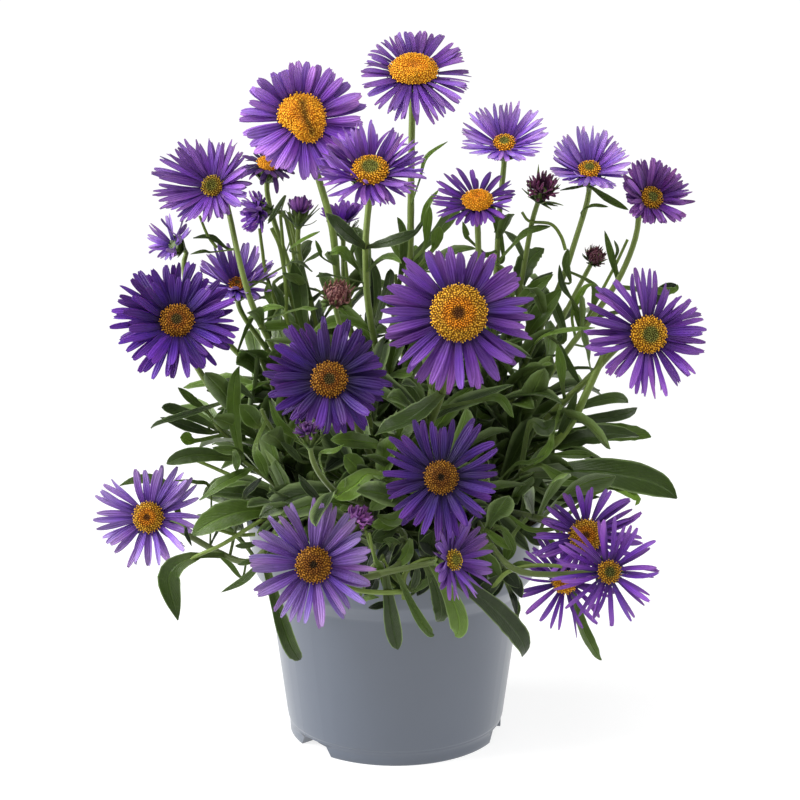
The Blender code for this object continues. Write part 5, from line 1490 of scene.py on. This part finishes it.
def petal_tint(rng, amount, rows, u, face, tone, gain_and_painted_light):
    """Deep near the disc, partly painted shade; full, then pale at the tip; painted shade at the edges; paler
    below.
    """
    deep_with_painted_shade, full, pale = (srgb(*colour) for colour in PALETTE[tone])
    s = rows[:, None, None]
    # Near the disc the deep colour is partly the petal's own and partly painted shade where petals overlap
    tint = np.where(s < FULL_AT, mix(deep_with_painted_shade, full, s / FULL_AT), mix(full, pale, (s - FULL_AT) / (1 - FULL_AT)))
    tint = np.where(face[:, None] < 0, mix(tint, 1.15 * pale, 0.25), tint)
    # Painted shade: the edges, which roll back, are darker
    tint = tint * (1 - 0.24 * np.abs(u) ** 3)[:, None]
    warmth = rng.normal(0, 0.06, (amount, 1, 1, 1)) * np.array((1.0, 0.2, -0.4))
    faded = np.clip(rng.normal(-0.04, 0.17, (amount, 1, 1, 1)), 0, 0.4)
    tint = tint * (1 - faded) + pale * 1.1 * faded * np.clip(s / 0.3, 0.3, 1)
    own = np.exp(np.clip(rng.normal(-0.03, 0.2, amount), -0.45, 0.4))
    return tint * (gain_and_painted_light * own)[:, None, None, None] * (1 + warmth)


print("tones of petals:", *PALETTE)

# %% [markdown]
# ## How each bloom stands
#
# No two blooms look alike: some are wide and flat, some are half open, and old ones hang and twist. The first
# list gives each its petals, and the second how far they reach in twelve directions as seen from the front,
# read off the photograph. A petal is made longer or shorter until its tip shows at that distance.

# %% Rings of petals
# Petals, width, curl, fold, untidiness, twist, spread of the layers, how sharp the tips are, length of the
# inner layer, brightness, tone
STANCE = {
    "01": (76, 2.4, -12, 0.25, 8, 0.35, 7, 0.30, 0.97, 0.97, "lilac"),
    "02": (66, 3.4, -14, 0.20, 7, 0.20, 5, 0.15, 0.95, 1.34, "lilac"),
    "03": (92, 2.0, -4, 0.35, 16, 0.70, 10, 0.60, 0.92, 1.12, "lilac"),
    "04": (36, 2.4, -20, 0.20, 14, 0.40, 6, 0.40, 1.00, 0.34, "violet"),
    "05": (88, 2.2, 2, 0.30, 9, 0.40, 7, 0.60, 0.92, 1.00, "lilac"),
    "06": (50, 2.6, 4, 0.30, 10, 0.40, 7, 0.40, 0.95, 1.32, "light"),
    "07": (26, 1.8, 10, 0.35, 16, 0.80, 8, 0.50, 1.00, 1.10, "light"),
    "08": (84, 3.0, -10, 0.25, 10, 0.35, 10, 0.05, 0.74, 0.86, "dark"),
    "12": (72, 2.0, 8, 0.30, 8, 0.35, 8, 0.50, 0.92, 1.62, "light"),
    "13": (44, 2.1, -6, 0.30, 10, 0.50, 6, 0.40, 1.00, 1.00, "violet"),
    "15": (64, 2.0, 8, 0.30, 8, 0.35, 7, 0.20, 0.92, 1.44, "light"),
    "16": (84, 2.3, 4, 0.35, 13, 0.60, 11, 0.35, 0.88, 1.00, "plum"),
    "18": (56, 3.4, -6, 0.25, 7, 0.30, 6, 0.45, 0.95, 0.86, "violet"),
    "19": (62, 3.2, -8, 0.25, 11, 0.35, 8, 0.15, 0.84, 0.58, "dark"),
    "21": (64, 2.5, -6, 0.30, 10, 0.50, 8, 0.30, 0.94, 1.02, "violet"),
    "22": (44, 2.7, -4, 0.30, 9, 0.45, 6, 0.20, 0.98, 0.60, "dark"),
    "23": (40, 2.6, -8, 0.35, 14, 0.75, 8, 0.30, 1.00, 0.94, "light"),
    "24": (46, 2.8, -6, 0.25, 8, 0.35, 6, 0.35, 0.97, 0.74, "light"),
    "27": (38, 2.4, 2, 0.30, 11, 0.50, 7, 0.50, 0.92, 0.84, "lilac"),
    "28": (38, 2.2, -2, 0.35, 10, 0.50, 6, 0.25, 1.00, 1.02, "violet"),
    "29": (34, 1.8, -2, 0.35, 8, 0.45, 5, 0.20, 1.00, 1.12, "violet"),
    "30": (30, 2.0, 4, 0.35, 11, 0.55, 6, 0.25, 1.00, 1.00, "violet"),
    "31": (46, 2.9, -6, 0.25, 6, 0.25, 4, 0.25, 0.95, 1.00, "violet"),
    "32": (46, 2.9, -6, 0.25, 6, 0.25, 4, 0.25, 0.95, 1.00, "dark"),
    "09": (46, 2.3, 52, 0.40, 20, 0.80, 18, 0.30, 0.70, 1.22, "lilac"),
    "10": (34, 1.8, 50, 0.35, 9, 0.50, 8, 0.50, 0.85, 1.30, "plum"),
    "11": (22, 3.6, 14, 0.30, 8, 0.30, 8, 0.45, 0.90, 1.40, "violet"),
    "14": (54, 1.3, 14, 0.35, 17, 0.60, 22, 0.50, 0.70, 1.10, "maroon"),
    "25": (40, 1.4, 0, 0.35, 18, 0.50, 16, 0.30, 0.80, 0.60, "plum"),
    "26": (42, 1.7, 16, 0.40, 24, 0.90, 16, 0.30, 0.80, 0.95, "pink"),
}
# How far the petals of a bloom tip over toward a direction, in degrees
LEANING = {"01": (4, 90), "02": (8, 90)}
# Reach in millimetres at 0, 30, ... 330 degrees, from the right round by the top
REACH = {
    "01": (22, 19.3, 18.4, 16.5, 16, 17.5, 19.5, 20.5, 19, 19.5, 20.5, 22),
    "02": (23.3, 23.7, 22.4, 21.3, 20.9, 22.1, 23.4, 20.5, 20.2, 21.5, 26, 24.5),
    "03": (21, 19.5, 17.5, 18.5, 18, 18.5, 19, 18, 15, 12, 13.5, 17),
    "05": (14, 15.5, 18.7, 17.8, 20.5, 23, 24.5, 19.5, 16, 12.5, 12, 13),
    "06": (15, 16, 17.5, 17.5, 18.5, 17, 14.5, 9, 6, 5.5, 7, 10.5),
    "07": (7, 10, 11, 11.7, 11.5, 11, 9.5, 9, 5, 3, 4, 5),
    "08": (22.1, 21.5, 21, 21.3, 21.6, 23.8, 24.2, 22.1, 23.4, 20.6, 20.4, 21.6),
    "12": (16.3, 17.7, 17.3, 15.9, 16.5, 17.8, 16.9, 9.5, 7, 6.5, 7, 10.8),
    "13": (13.5, 14.3, 11.6, 12.2, 13.8, 16.5, 17, 15.5, 9.7, 9.1, 9.3, 12),
    "15": (15.5, 15.8, 16, 16.2, 17.2, 16, 15.2, 9.2, 6.4, 5.5, 6.6, 13),
    "16": (16.1, 14.7, 14.7, 15.3, 14.9, 12, 9.5, 8.7, 9.6, 9.5, 11.3, 15.1),
    "18": (25.5, 25.3, 23.5, 21.9, 25.7, 26.6, 28.4, 26.5, 27.3, 27.1, 27.4, 26.9),
    "19": (21.1, 19.9, 20.5, 21.5, 22.2, 22.8, 22.4, 20.3, 19.6, 18.7, 21.1, 20.1),
    "21": (21.3, 21.3, 18.2, 23.9, 25.5, 24.8, 23.9, 21.5, 20.2, 23.2, 22.7, 22.3),
    "22": (19, 21.6, 22, 17.5, 21.4, 21.3, 20.1, 20.7, 20.4, 21, 20, 20.2),
    "23": (20.7, 21.8, 21.2, 17, 21.5, 20.2, 21, 18, 20.2, 17.5, 18, 17),
    "24": (20.3, 19.9, 22, 21.8, 21.7, 22.9, 22, 22.5, 21.3, 21.8, 21.7, 21),
    "27": (14.5, 15.1, 16, 17, 10, 5, 3.5, 4.5, 9, 14.5, 15.5, 15),
    "28": (20.9, 20.3, 18.8, 17.5, 17.3, 16.5, 18.8, 19.8, 17.2, 15, 17.5, 20.5),
    "09": (4.2, 4.5, 6.5, 8, 8.5, 7.5, 6.6, 7.5, 9, 10, 7.5, 5),
    "10": (3.0, 4.0, 5.2, 5.8, 5.2, 4.0, 3.0, 2.0, 1.8, 1.8, 1.8, 2.2),
    "11": (8.5, 9.6, 8.4, 8.0, 8.4, 9.6, 8.5, 5, 4, 4, 4, 5),
    "14": (6.4, 6.6, 6.8, 6.6, 6.6, 6.4, 6.2, 5.6, 5, 4.6, 5, 5.8),
    "25": (5.0, 4.2, 3.6, 3.2, 3.6, 4.2, 5.0, 5.0, 4.8, 4.8, 4.8, 5.0),
    "26": (5.4, 5.4, 5.2, 5, 5.2, 5.4, 5.4, 5, 4.6, 4.4, 4.6, 5),
}
# Radius of the disc at 0, 30, ... 330 degrees, where it isn't round, as a share of its largest
DISC_FORM = {
    "01": (1.0, 0.98, 0.96, 0.95, 0.96, 0.98, 1.0, 0.88, 0.74, 0.68, 0.74, 0.88),
    "02": (0.9, 0.97, 1.02, 1.04, 1.03, 1.0, 0.9, 0.58, 0.56, 0.78, 0.97, 0.92),
}
# How much shorter or longer a petal may get than its bloom's plain reach
SHORTEST, LONGEST = 0.5, 1.2
print("petals:", sum(row[0] for row in STANCE.values()))

# %% Petals that reach as far as was measured
AROUND = np.arange(0, 361, 30)
LAYERS, LAYER_DROP = 3, 0.3
# How far the roots lie under the disc's edge, rounds of measuring, and how much lighter the lower petals are
# # painted, as painted light from above
UNDER_DISC, ROUNDS, LOWER_PETAL_PAINTED_LIGHT = 0.8, 4, 0.16


def disc_radius(key, disc, angle):
    """The disc's radius toward an angle: its own number, times its form where it isn't round."""
    if key not in DISC_FORM:
        return 0.95 * disc + 0 * angle
    form = DISC_FORM[key]
    return disc * np.interp(np.degrees(angle) % 360, AROUND, (*form, form[0]))


def stretch(tips, centre, key):
    """How much longer a petal has to be for its tip to show as far from its disc's centre as was measured."""
    away = (on_picture(tips) - on_picture(centre)) * ((np.array(centre, float) - VIEW) @ VIEW_AHEAD)
    angle = np.degrees(np.arctan2(away[:, 1], away[:, 0])) % 360
    wanted = np.interp(angle, AROUND, (*REACH[key], REACH[key][0]))
    return wanted / np.maximum(np.hypot(*away.T), 0.3 * wanted)


def measured(length, carry, key):
    """Lengths changed in a few rounds, until the tips show as far out as was measured, where it was."""
    shortest, longest = SHORTEST * length, LONGEST * length
    for _ in range(ROUNDS if key in REACH else 0):
        tips = placed(carry(length)[0][:, -1], *seat(key))
        length = np.clip(length * stretch(tips, seat(key)[0], key), shortest, longest)
    return length


def petal_ring(key):
    """The petals of one bloom: three alternating layers, each a little lower and flatter than the last."""
    _, _, _, reach, disc, rise, *_ = HEADS[key]
    amount, width, curl, fold, untidy, twist, spread, sharp, inner, gain, tone = STANCE[key]
    lean, toward = LEANING.get(key, (0, 0))
    rng = draws(100 + int(key))
    layer = np.arange(amount) % LAYERS
    step = 2 * math.pi / amount
    angle = step * (np.arange(amount) + rng.normal(0, 0.3, amount)) + rng.uniform(0, 6)
    pitch = np.radians(rise + spread * (1 - layer) + rng.normal(0, untidy, amount)
                       + lean * np.cos(angle - math.radians(toward)) - curl / 2)
    bend = np.radians(curl + rng.normal(0, untidy, amount))
    sway = rng.normal(0, 0.1 + 0.25 * twist, amount)
    root, level = disc_radius(key, disc, angle) - UNDER_DISC, -0.15 - LAYER_DROP * layer

    def carry(length):
        """The petals' paths and their two ways aside and up, for these lengths."""
        return rays(angle, root, level, length, pitch, bend, sway, PETAL_ROWS)

    flat = np.cos(np.clip(pitch + 0.5 * bend, -1.2, 1.2))
    length = measured((reach - root) / np.maximum(flat, 0.62), carry, key)
    path, side, up = carry(length * rng.uniform(0.90, 1.08, amount) * np.where(layer == 0, inner, 1.0))
    spin = rng.normal(0, twist, (amount, 1)) * PETAL_ROWS**1.4 + rng.normal(0, 0.16, (amount, 1))
    side, up = turn_about(side, up, spin)
    point = np.clip(sharp + rng.normal(0, 0.2, (amount, 1)), 0, 1)
    form = mix(outline(BLUNT, PETAL_ROWS), outline(SHARP, PETAL_ROWS), point)
    wide = width * rng.uniform(0.78, 1.12, amount)[:, None] * form / 2
    cup = fold * rng.uniform(0.4, 1.6, (amount, 1))
    rings, u, face = blades(path, side, up, wide, 0.34 - 0.12 * PETAL_ROWS, cup, TOP, 0.06)
    notch = rng.uniform(0.0, 0.9, (amount, 1, 1)) * (np.abs(u) - 0.45)[:, None]
    rings[:, -1] += unit(path[:, -1] - path[:, -2])[:, None] * notch
    # Painted light: the lower petals are painted lighter, as lit from above, times the bloom's brightness
    gain_and_painted_light = gain * (1 - LOWER_PETAL_PAINTED_LIGHT * np.sin(angle))
    tint = petal_tint(rng, amount, PETAL_ROWS, u, face, tone, gain_and_painted_light)
    return shape_of(placed(rings, *seat(key)), tint, u * 0.5 + 0.5, PETAL_ROWS[:, None])


for key in HEADS:
    name, node = f"tuft_{key}", f"opening_{key}_petals"
    if key in BLOOMS:
        name, node = f"petals_{key}", f"bloom_{key}_rays"
    piece = make_piece(name, [petal_ring(key)], petal_finish)
    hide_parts(node)
print("triangles with the petals:", count["triangles"])

# %% [markdown]
# ## Discs
#
# The golden disc is packed with hundreds of tiny tube flowers in spirals. They open from the rim inward, so
# the outer ones stand up as little stars with dark gaps between them, the next are smooth golden buds, and
# the youngest lie in a brown or green dimple in the middle. The dark between the florets is painted shade: the
# dome under them and their own feet are tinted darker. Each tube is a ring of five points carried up
# four levels, set on the dome at the golden angle from the last, at a distance that grows with the square
# root of its number. The two highest discs aren't round: one is shorter at its front, the other is folded
# like a kidney.

# %% Tones of the discs
GOLDEN = math.radians(137.508)
# Colours of the open outer florets, of the ring of buds and of the centre, and how wide the centre is
DISC_TONES = {
    "gold": ((250, 188, 50), (250, 176, 44), (240, 160, 50), 0.22),
    "ripe": ((240, 184, 56), (246, 160, 36), (112, 68, 30), 0.22),
    "brown": ((222, 156, 52), (170, 108, 36), (64, 48, 24), 0.24),
    "olive": ((226, 158, 54), (196, 122, 40), (112, 98, 50), 0.34),
    "green": ((244, 182, 50), (216, 170, 52), (128, 130, 60), 0.46),
    "lime": ((214, 176, 58), (168, 152, 54), (128, 126, 50), 0.50),
}
# Kind and brightness of each disc
DISCS = {
    "01": ("gold", 1.02), "02": ("gold", 1.06), "03": ("green", 1.28), "04": ("gold", 0.95),
    "05": ("lime", 0.86), "06": ("olive", 1.45), "08": ("olive", 0.80), "12": ("green", 1.62),
    "13": ("gold", 1.14), "15": ("green", 1.45), "16": ("green", 0.82), "18": ("ripe", 0.94),
    "19": ("olive", 0.58), "21": ("green", 0.96), "22": ("brown", 0.52), "23": ("ripe", 0.82),
    "24": ("brown", 0.62), "27": ("lime", 1.1), "28": ("ripe", 0.72), "29": ("green", 0.58),
    "30": ("gold", 0.80), "31": ("ripe", 0.9), "32": ("brown", 0.8),
}
print("discs:", len(DISCS))

# %% Disc domes
# The folded disc's bent groove, as points in shares of its radius, and half its width
FOLDED = "02"
GROOVE, GROOVE_HALF = np.array(((0.02, 0.62), (0.16, 0.1), (0.42, -0.5))), 0.17
DOME_SHARES = np.array((0.6, 0.96, 1.0, 0.97, 0.9, 0.8, 0.65, 0.5, 0.38, 0.28, 0.2, 0.12, 0.04))[:, None]


def groove_share(key, share, angle):
    """One in the folded disc's groove and falling to nothing beside it, by the distance from a bent line."""
    if key != FOLDED:
        return 0 * (share + angle)
    place = np.stack([share * np.cos(angle), share * np.sin(angle)], axis=-1)
    line = np.concatenate([np.linspace(a, b, 12) for a, b in zip(GROOVE[:-1], GROOVE[1:])])
    away = np.linalg.norm(place[..., None, :] - line, axis=-1).min(axis=-1)
    return np.exp(-((away / GROOVE_HALF) ** 2))


def dome_height(key, share, angle, disc):
    """Height of the disc at a share of its radius: a flat-topped dome with a dimple in the middle."""
    dimple = 0.22 * np.exp(-((share / 0.26) ** 2)) if key != FOLDED else 0.0
    dip = dimple + 0.35 * groove_share(key, share, angle)
    return 0.3 + 0.42 * disc * (0.97 * (1 - np.abs(share) ** 3) - dip)


def disc_zone(key, share, angle):
    """Colour at a place on the disc, blended between the centre, the buds and the open florets."""
    kind = DISCS[key][0]
    outer, ring, middle = (srgb(*colour) for colour in DISC_TONES[kind][:3])
    size = DISC_TONES[kind][3]
    inward = np.clip((size + 0.06 - share) / 0.12, 0, 1)[..., None] + 0 * angle[..., None]
    outward = np.clip((share - max(0.5, size + 0.08)) / 0.15, 0, 1)[..., None]
    colour = middle * inward + ring * (1 - inward) * (1 - outward) + outer * outward
    if kind == "ripe":
        rim = np.exp(-(((share - size) / 0.05) ** 2))[..., None]
        colour = colour * (1 - 0.45 * rim)
    return mix(colour, srgb(150, 118, 48), 0.85 * groove_share(key, share, angle)[..., None])


def dome_shape(key, disc, place):
    """The dome under the florets, painted darker and browner than they are, as shade between them."""
    around = turns(48)
    height = dome_height(key, DOME_SHARES, around, disc)
    height[:2] = 0.1
    dome = polar(disc_radius(key, disc, around) * DOME_SHARES, around, height)
    kind, gain = DISCS[key]
    # Painted shade: the dome shows between the florets, darker and browner
    painted_gap_shade = (0.62, 0.46, 0.34) if kind == "gold" else (0.36, 0.27, 0.18)
    tint = disc_zone(key, DOME_SHARES, around) * np.array(painted_gap_shade) * gain
    return shape_of(placed(dome[None], *place), tint[None])


print("rings of points up a dome:", len(DOME_SHARES))

# %% Florets
# Distance between florets on a large and on a small disc, and how many fill a square of it
LARGE_GAP, SMALL_GAP, LARGE_DISC, FILLING = 0.70, 0.62, 6, 2.7
# Radius of a floret's four rings as a share of the gap, their heights and their brightness, shut and open
SHUT, OPEN = (0.38, 0.46, 0.40, 0.14), (0.20, 0.22, 0.42, 0.22)
SHUT_HEIGHTS, OPEN_HEIGHTS = (-0.2, 0.22, 0.44, 0.58), (-0.2, 0.55, 1.0, 0.86)
# The lower rings are painted darker, as shade between the florets
SHUT_PAINTED_SHADE, OPEN_LIGHT = (0.4, 0.7, 1.0, 1.0), (1.15, 1.05)


def floret_shape(key, disc, place):
    """Tube flowers at r = R sqrt(i/n), angle = i * golden angle, standing square to the dome."""
    rng = draws(300 + int(key))
    gap = LARGE_GAP if disc > LARGE_DISC else SMALL_GAP
    amount = int(FILLING * disc**2 / gap**2)
    number = np.arange(amount)
    share = np.sqrt((number + 0.5) / amount)
    angle = number * GOLDEN + rng.normal(0, 0.03, amount)
    outer, inner = (dome_height(key, share + step, angle, disc) for step in (0.01, -0.01))
    slope = (outer - inner) / (0.02 * disc)
    out = polar(1.0, angle, 0.0)
    up = unit(UP - out * np.clip(slope, -2.0, 2.0)[:, None] + rng.normal(0, 0.08, (amount, 3)))
    ahead = unit(np.cross(np.cross(UP, out), up))
    side = np.cross(up, ahead)
    kind, gain = DISCS[key]
    first = {"gold": 0.3, "ripe": 0.46}.get(kind, 0.5)
    opened = (np.clip((share - first) / 0.12, 0, 1) * rng.uniform(0.7, 1.0, amount))[:, None]
    wide = gap * mix(SHUT, OPEN, opened) * rng.uniform(0.82, 1.18, (amount, 1))
    tall = mix(SHUT_HEIGHTS, OPEN_HEIGHTS, opened) * rng.uniform(0.75, 1.2, (amount, 1))
    five = turns(5) + rng.uniform(0, 6, (amount, 1))
    ring = np.cos(five)[..., None] * ahead[:, None] + np.sin(five)[..., None] * side[:, None]
    base = out * (disc_radius(key, disc, angle) * share)[:, None]
    base[:, 2] = dome_height(key, share, angle, disc)
    rings = base[:, None, None] + ring[:, None] * wide[..., None, None]
    rings = rings + up[:, None, None] * tall[..., None, None]
    # Painted shade: the feet of the florets are darker, most of all on the open ones
    low = (0.6, 0.75) if kind == "gold" else (0.16, 0.32)
    painted_floret_shade = mix(SHUT_PAINTED_SHADE, (*low, *OPEN_LIGHT), opened)[..., None, None]
    tint = disc_zone(key, share, angle)[:, None, None] * painted_floret_shade * gain
    return shape_of(placed(rings, *place), tint * rng.uniform(0.66, 1.25, (amount, 1, 1, 1)))


for key in BLOOMS:
    if key in NO_DISC:
        continue
    shapes = [make(key, BLOOMS[key][4], seat(key)) for make in (dome_shape, floret_shape)]
    piece = make_piece(f"disc_{key}", shapes, floret_finish)
    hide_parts(f"bloom_{key}_disc")
print("triangles so far:", count["triangles"])

# %% [markdown]
# ## Green cups and closed buds
#
# Under the petals each head sits in a cup of narrow green bracts, two or three rows that overlap like
# shingles. They show on every bloom seen from the side or the back. A closed bud is the same cup before it
# opens, with its bracts curled together round the crumpled tips of the petals.

# %% Bracts
BRACT_ROWS = np.array((0.0, 0.25, 0.5, 0.75, 1.0))
BRACT = ((0.0, 0.8), (0.3, 1.0), (0.6, 0.8), (0.85, 0.42), (1.0, 0.08))
# Colour at the foot and at the tip
GREEN = ((66, 88, 34), (112, 132, 60))


def bract_ring(rng, amount, root, level, length, rise, curl, width, untidy, colours, place):
    """Narrow bracts round an axis, as blades along rising rays."""
    angle = 2 * math.pi * (np.arange(amount) + rng.normal(0, 0.15, amount)) / amount + rng.uniform(0, 6)
    pitch = np.radians(rise + rng.normal(0, untidy, amount))
    bend = np.radians(curl + rng.normal(0, untidy + 1, amount))
    reach = length * rng.uniform(0.88, 1.1, amount)
    path, side, up = rays(angle, root, level, reach, pitch, bend, rng.normal(0, 0.08, amount), BRACT_ROWS)
    half = width / 2 * outline(BRACT, BRACT_ROWS) + 0 * angle[:, None]
    rings, u, _ = blades(path, side, up, half, 0.3, 0.25, TOP)
    along = BRACT_ROWS[:, None, None]
    tint = mix(srgb(*colours[0]), srgb(*colours[1]), along) * rng.uniform(0.8, 1.15, (amount, 1, 1, 1))
    return shape_of(placed(rings, *place), tint, u * 0.5 + 0.5, BRACT_ROWS[:, None])


print("half width of a bract along its length:", (outline(BRACT, BRACT_ROWS)).round(2))

# %% Cups and closed buds
# Height of each ring of a cup as a share of its depth, its radius as a share of the cup's, and what is added
CUP_RINGS = np.array(((0.0, 0.0, 1.1), (0.15, 0.4, 0.8), (0.3, 0.66, 0.3), (0.45, 0.82, 0), (0.65, 0.93, 0),
                      (0.85, 0.97, 0), (1.0, 1.0, 0), (1.02, 0.5, 0)))
# How much longer the outer bracts of some opening buds are
SPIKY = {"14": 1.3, "10": 1.1}
BUD_COLOURS = {"17": ((84, 44, 56), (156, 96, 112)), "20": ((96, 56, 58), (190, 134, 128))}
# Rise and curl, then level, root and length in shares of the bud's radius: petal tips, and bracts round them
BUD_TIPS = ((46, 60, -0.6, 0.72, 1.05), (54, 60, -0.3, 0.66, 0.95), (64, 60, 0.0, 0.5, 0.75),
            (78, 50, 0.25, 0.25, 0.5))
BUD_BRACTS = ((56, 30, -1.15, 0.4, 1.75), (40, 34, -1.2, 0.4, 1.5), (22, 30, -1.2, 0.4, 1.2))


def cup_shapes(key):
    """A turned cup from the neck of the stem to the petals, and rows of bracts, spiky on an opening bud."""
    place = seat(key)
    rng = draws(400 + int(key))
    wide = max(1.4, HEADS[key][4] - 0.3)
    share, part, more = CUP_RINGS.T[:, :, None]
    cup = polar(part * wide + more, turns(20), CUP_DEPTH * (share - 1.0) - (HUB_STEP + FIT))
    amount = int(max(12, 2 * math.pi * wide / 1.5))
    steep = 58 if key in BLOOMS else 78
    # Amount, root as a share of the cup's radius, level, length, rise, curl, width, untidiness
    rows = [(amount, 0.80, -6.2, 5.6, steep, 6, 1.7, 4), (amount, 0.62, -6.6, 5.2, steep - 6, 10, 1.7, 4)]
    if key in TUFTS:
        long = SPIKY.get(key, 1.0)
        rows += [(15, 0.9, -6.0, 8.2 * long, 62, 10, 1.6, 13), (11, 0.7, -6.4, 6.6 * long, 42, 14, 1.5, 15)]
    return [shape_of(placed(cup[None], *place), srgb(80, 98, 46))] + [
        bract_ring(rng, number, root * wide, *row, GREEN, place) for number, root, *row in rows]


def bud_shapes(key):
    """A closed bud: a solid of revolution, crumpled petal tips over its top, and three rows of bracts."""
    radius = BUDS[key][3]
    place = seat(key)
    rng = draws(450 + int(key))
    share = np.linspace(0, 1, 9)[:, None]
    wide = radius * 0.8 * np.sin(math.pi * np.clip(share * 0.93 + 0.06, 0, 1)) ** 0.7
    body = polar(wide, turns(18), (1.9 * share - 1.3) * radius)
    shapes = [shape_of(placed(body[None], *place), srgb(*BUD_COLOURS[key][0]))]
    for rows, amount, width, untidy, colours in ((BUD_TIPS, 22, 0.24, 20, BUD_COLOURS[key]),
                                                 (BUD_BRACTS, 13, 0.3, 13, GREEN)):
        for rise, curl, level, root, long in rows:
            shapes.append(bract_ring(rng, amount, root * radius, level * radius, long * radius, rise, curl,
                                     width * radius, untidy, colours, place))
    return shapes


for crown in CROWNS:
    shapes = []
    for job in jobs:
        if job[1] == crown and not job[0].startswith("s"):
            shapes += bud_shapes(job[0]) if job[0] in BUDS else cup_shapes(job[0])
    dress_crown(crown, "cups", shapes, leaf_finish)
print("cups and buds:", len(BLOOMS) + len(TUFTS) + len(BUDS))

# %% [markdown]
# ## Sizes, and the end
#
# The dressed plant has to fill the same box as the solid model, give or take a petal's tip.

# %% Measure and finish
dressed_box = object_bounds()
for low, high, fine_low, fine_high in zip(*solid_box, *dressed_box):
    print("side in mm:", round((high - low) / MM, 1), "dressed:", round((fine_high - fine_low) / MM, 1),
          "stands out by", round((low - fine_low) / MM, 1), "and", round((fine_high - high) / MM, 1))
print("triangles:", count["triangles"], "largest piece:", count["largest"])
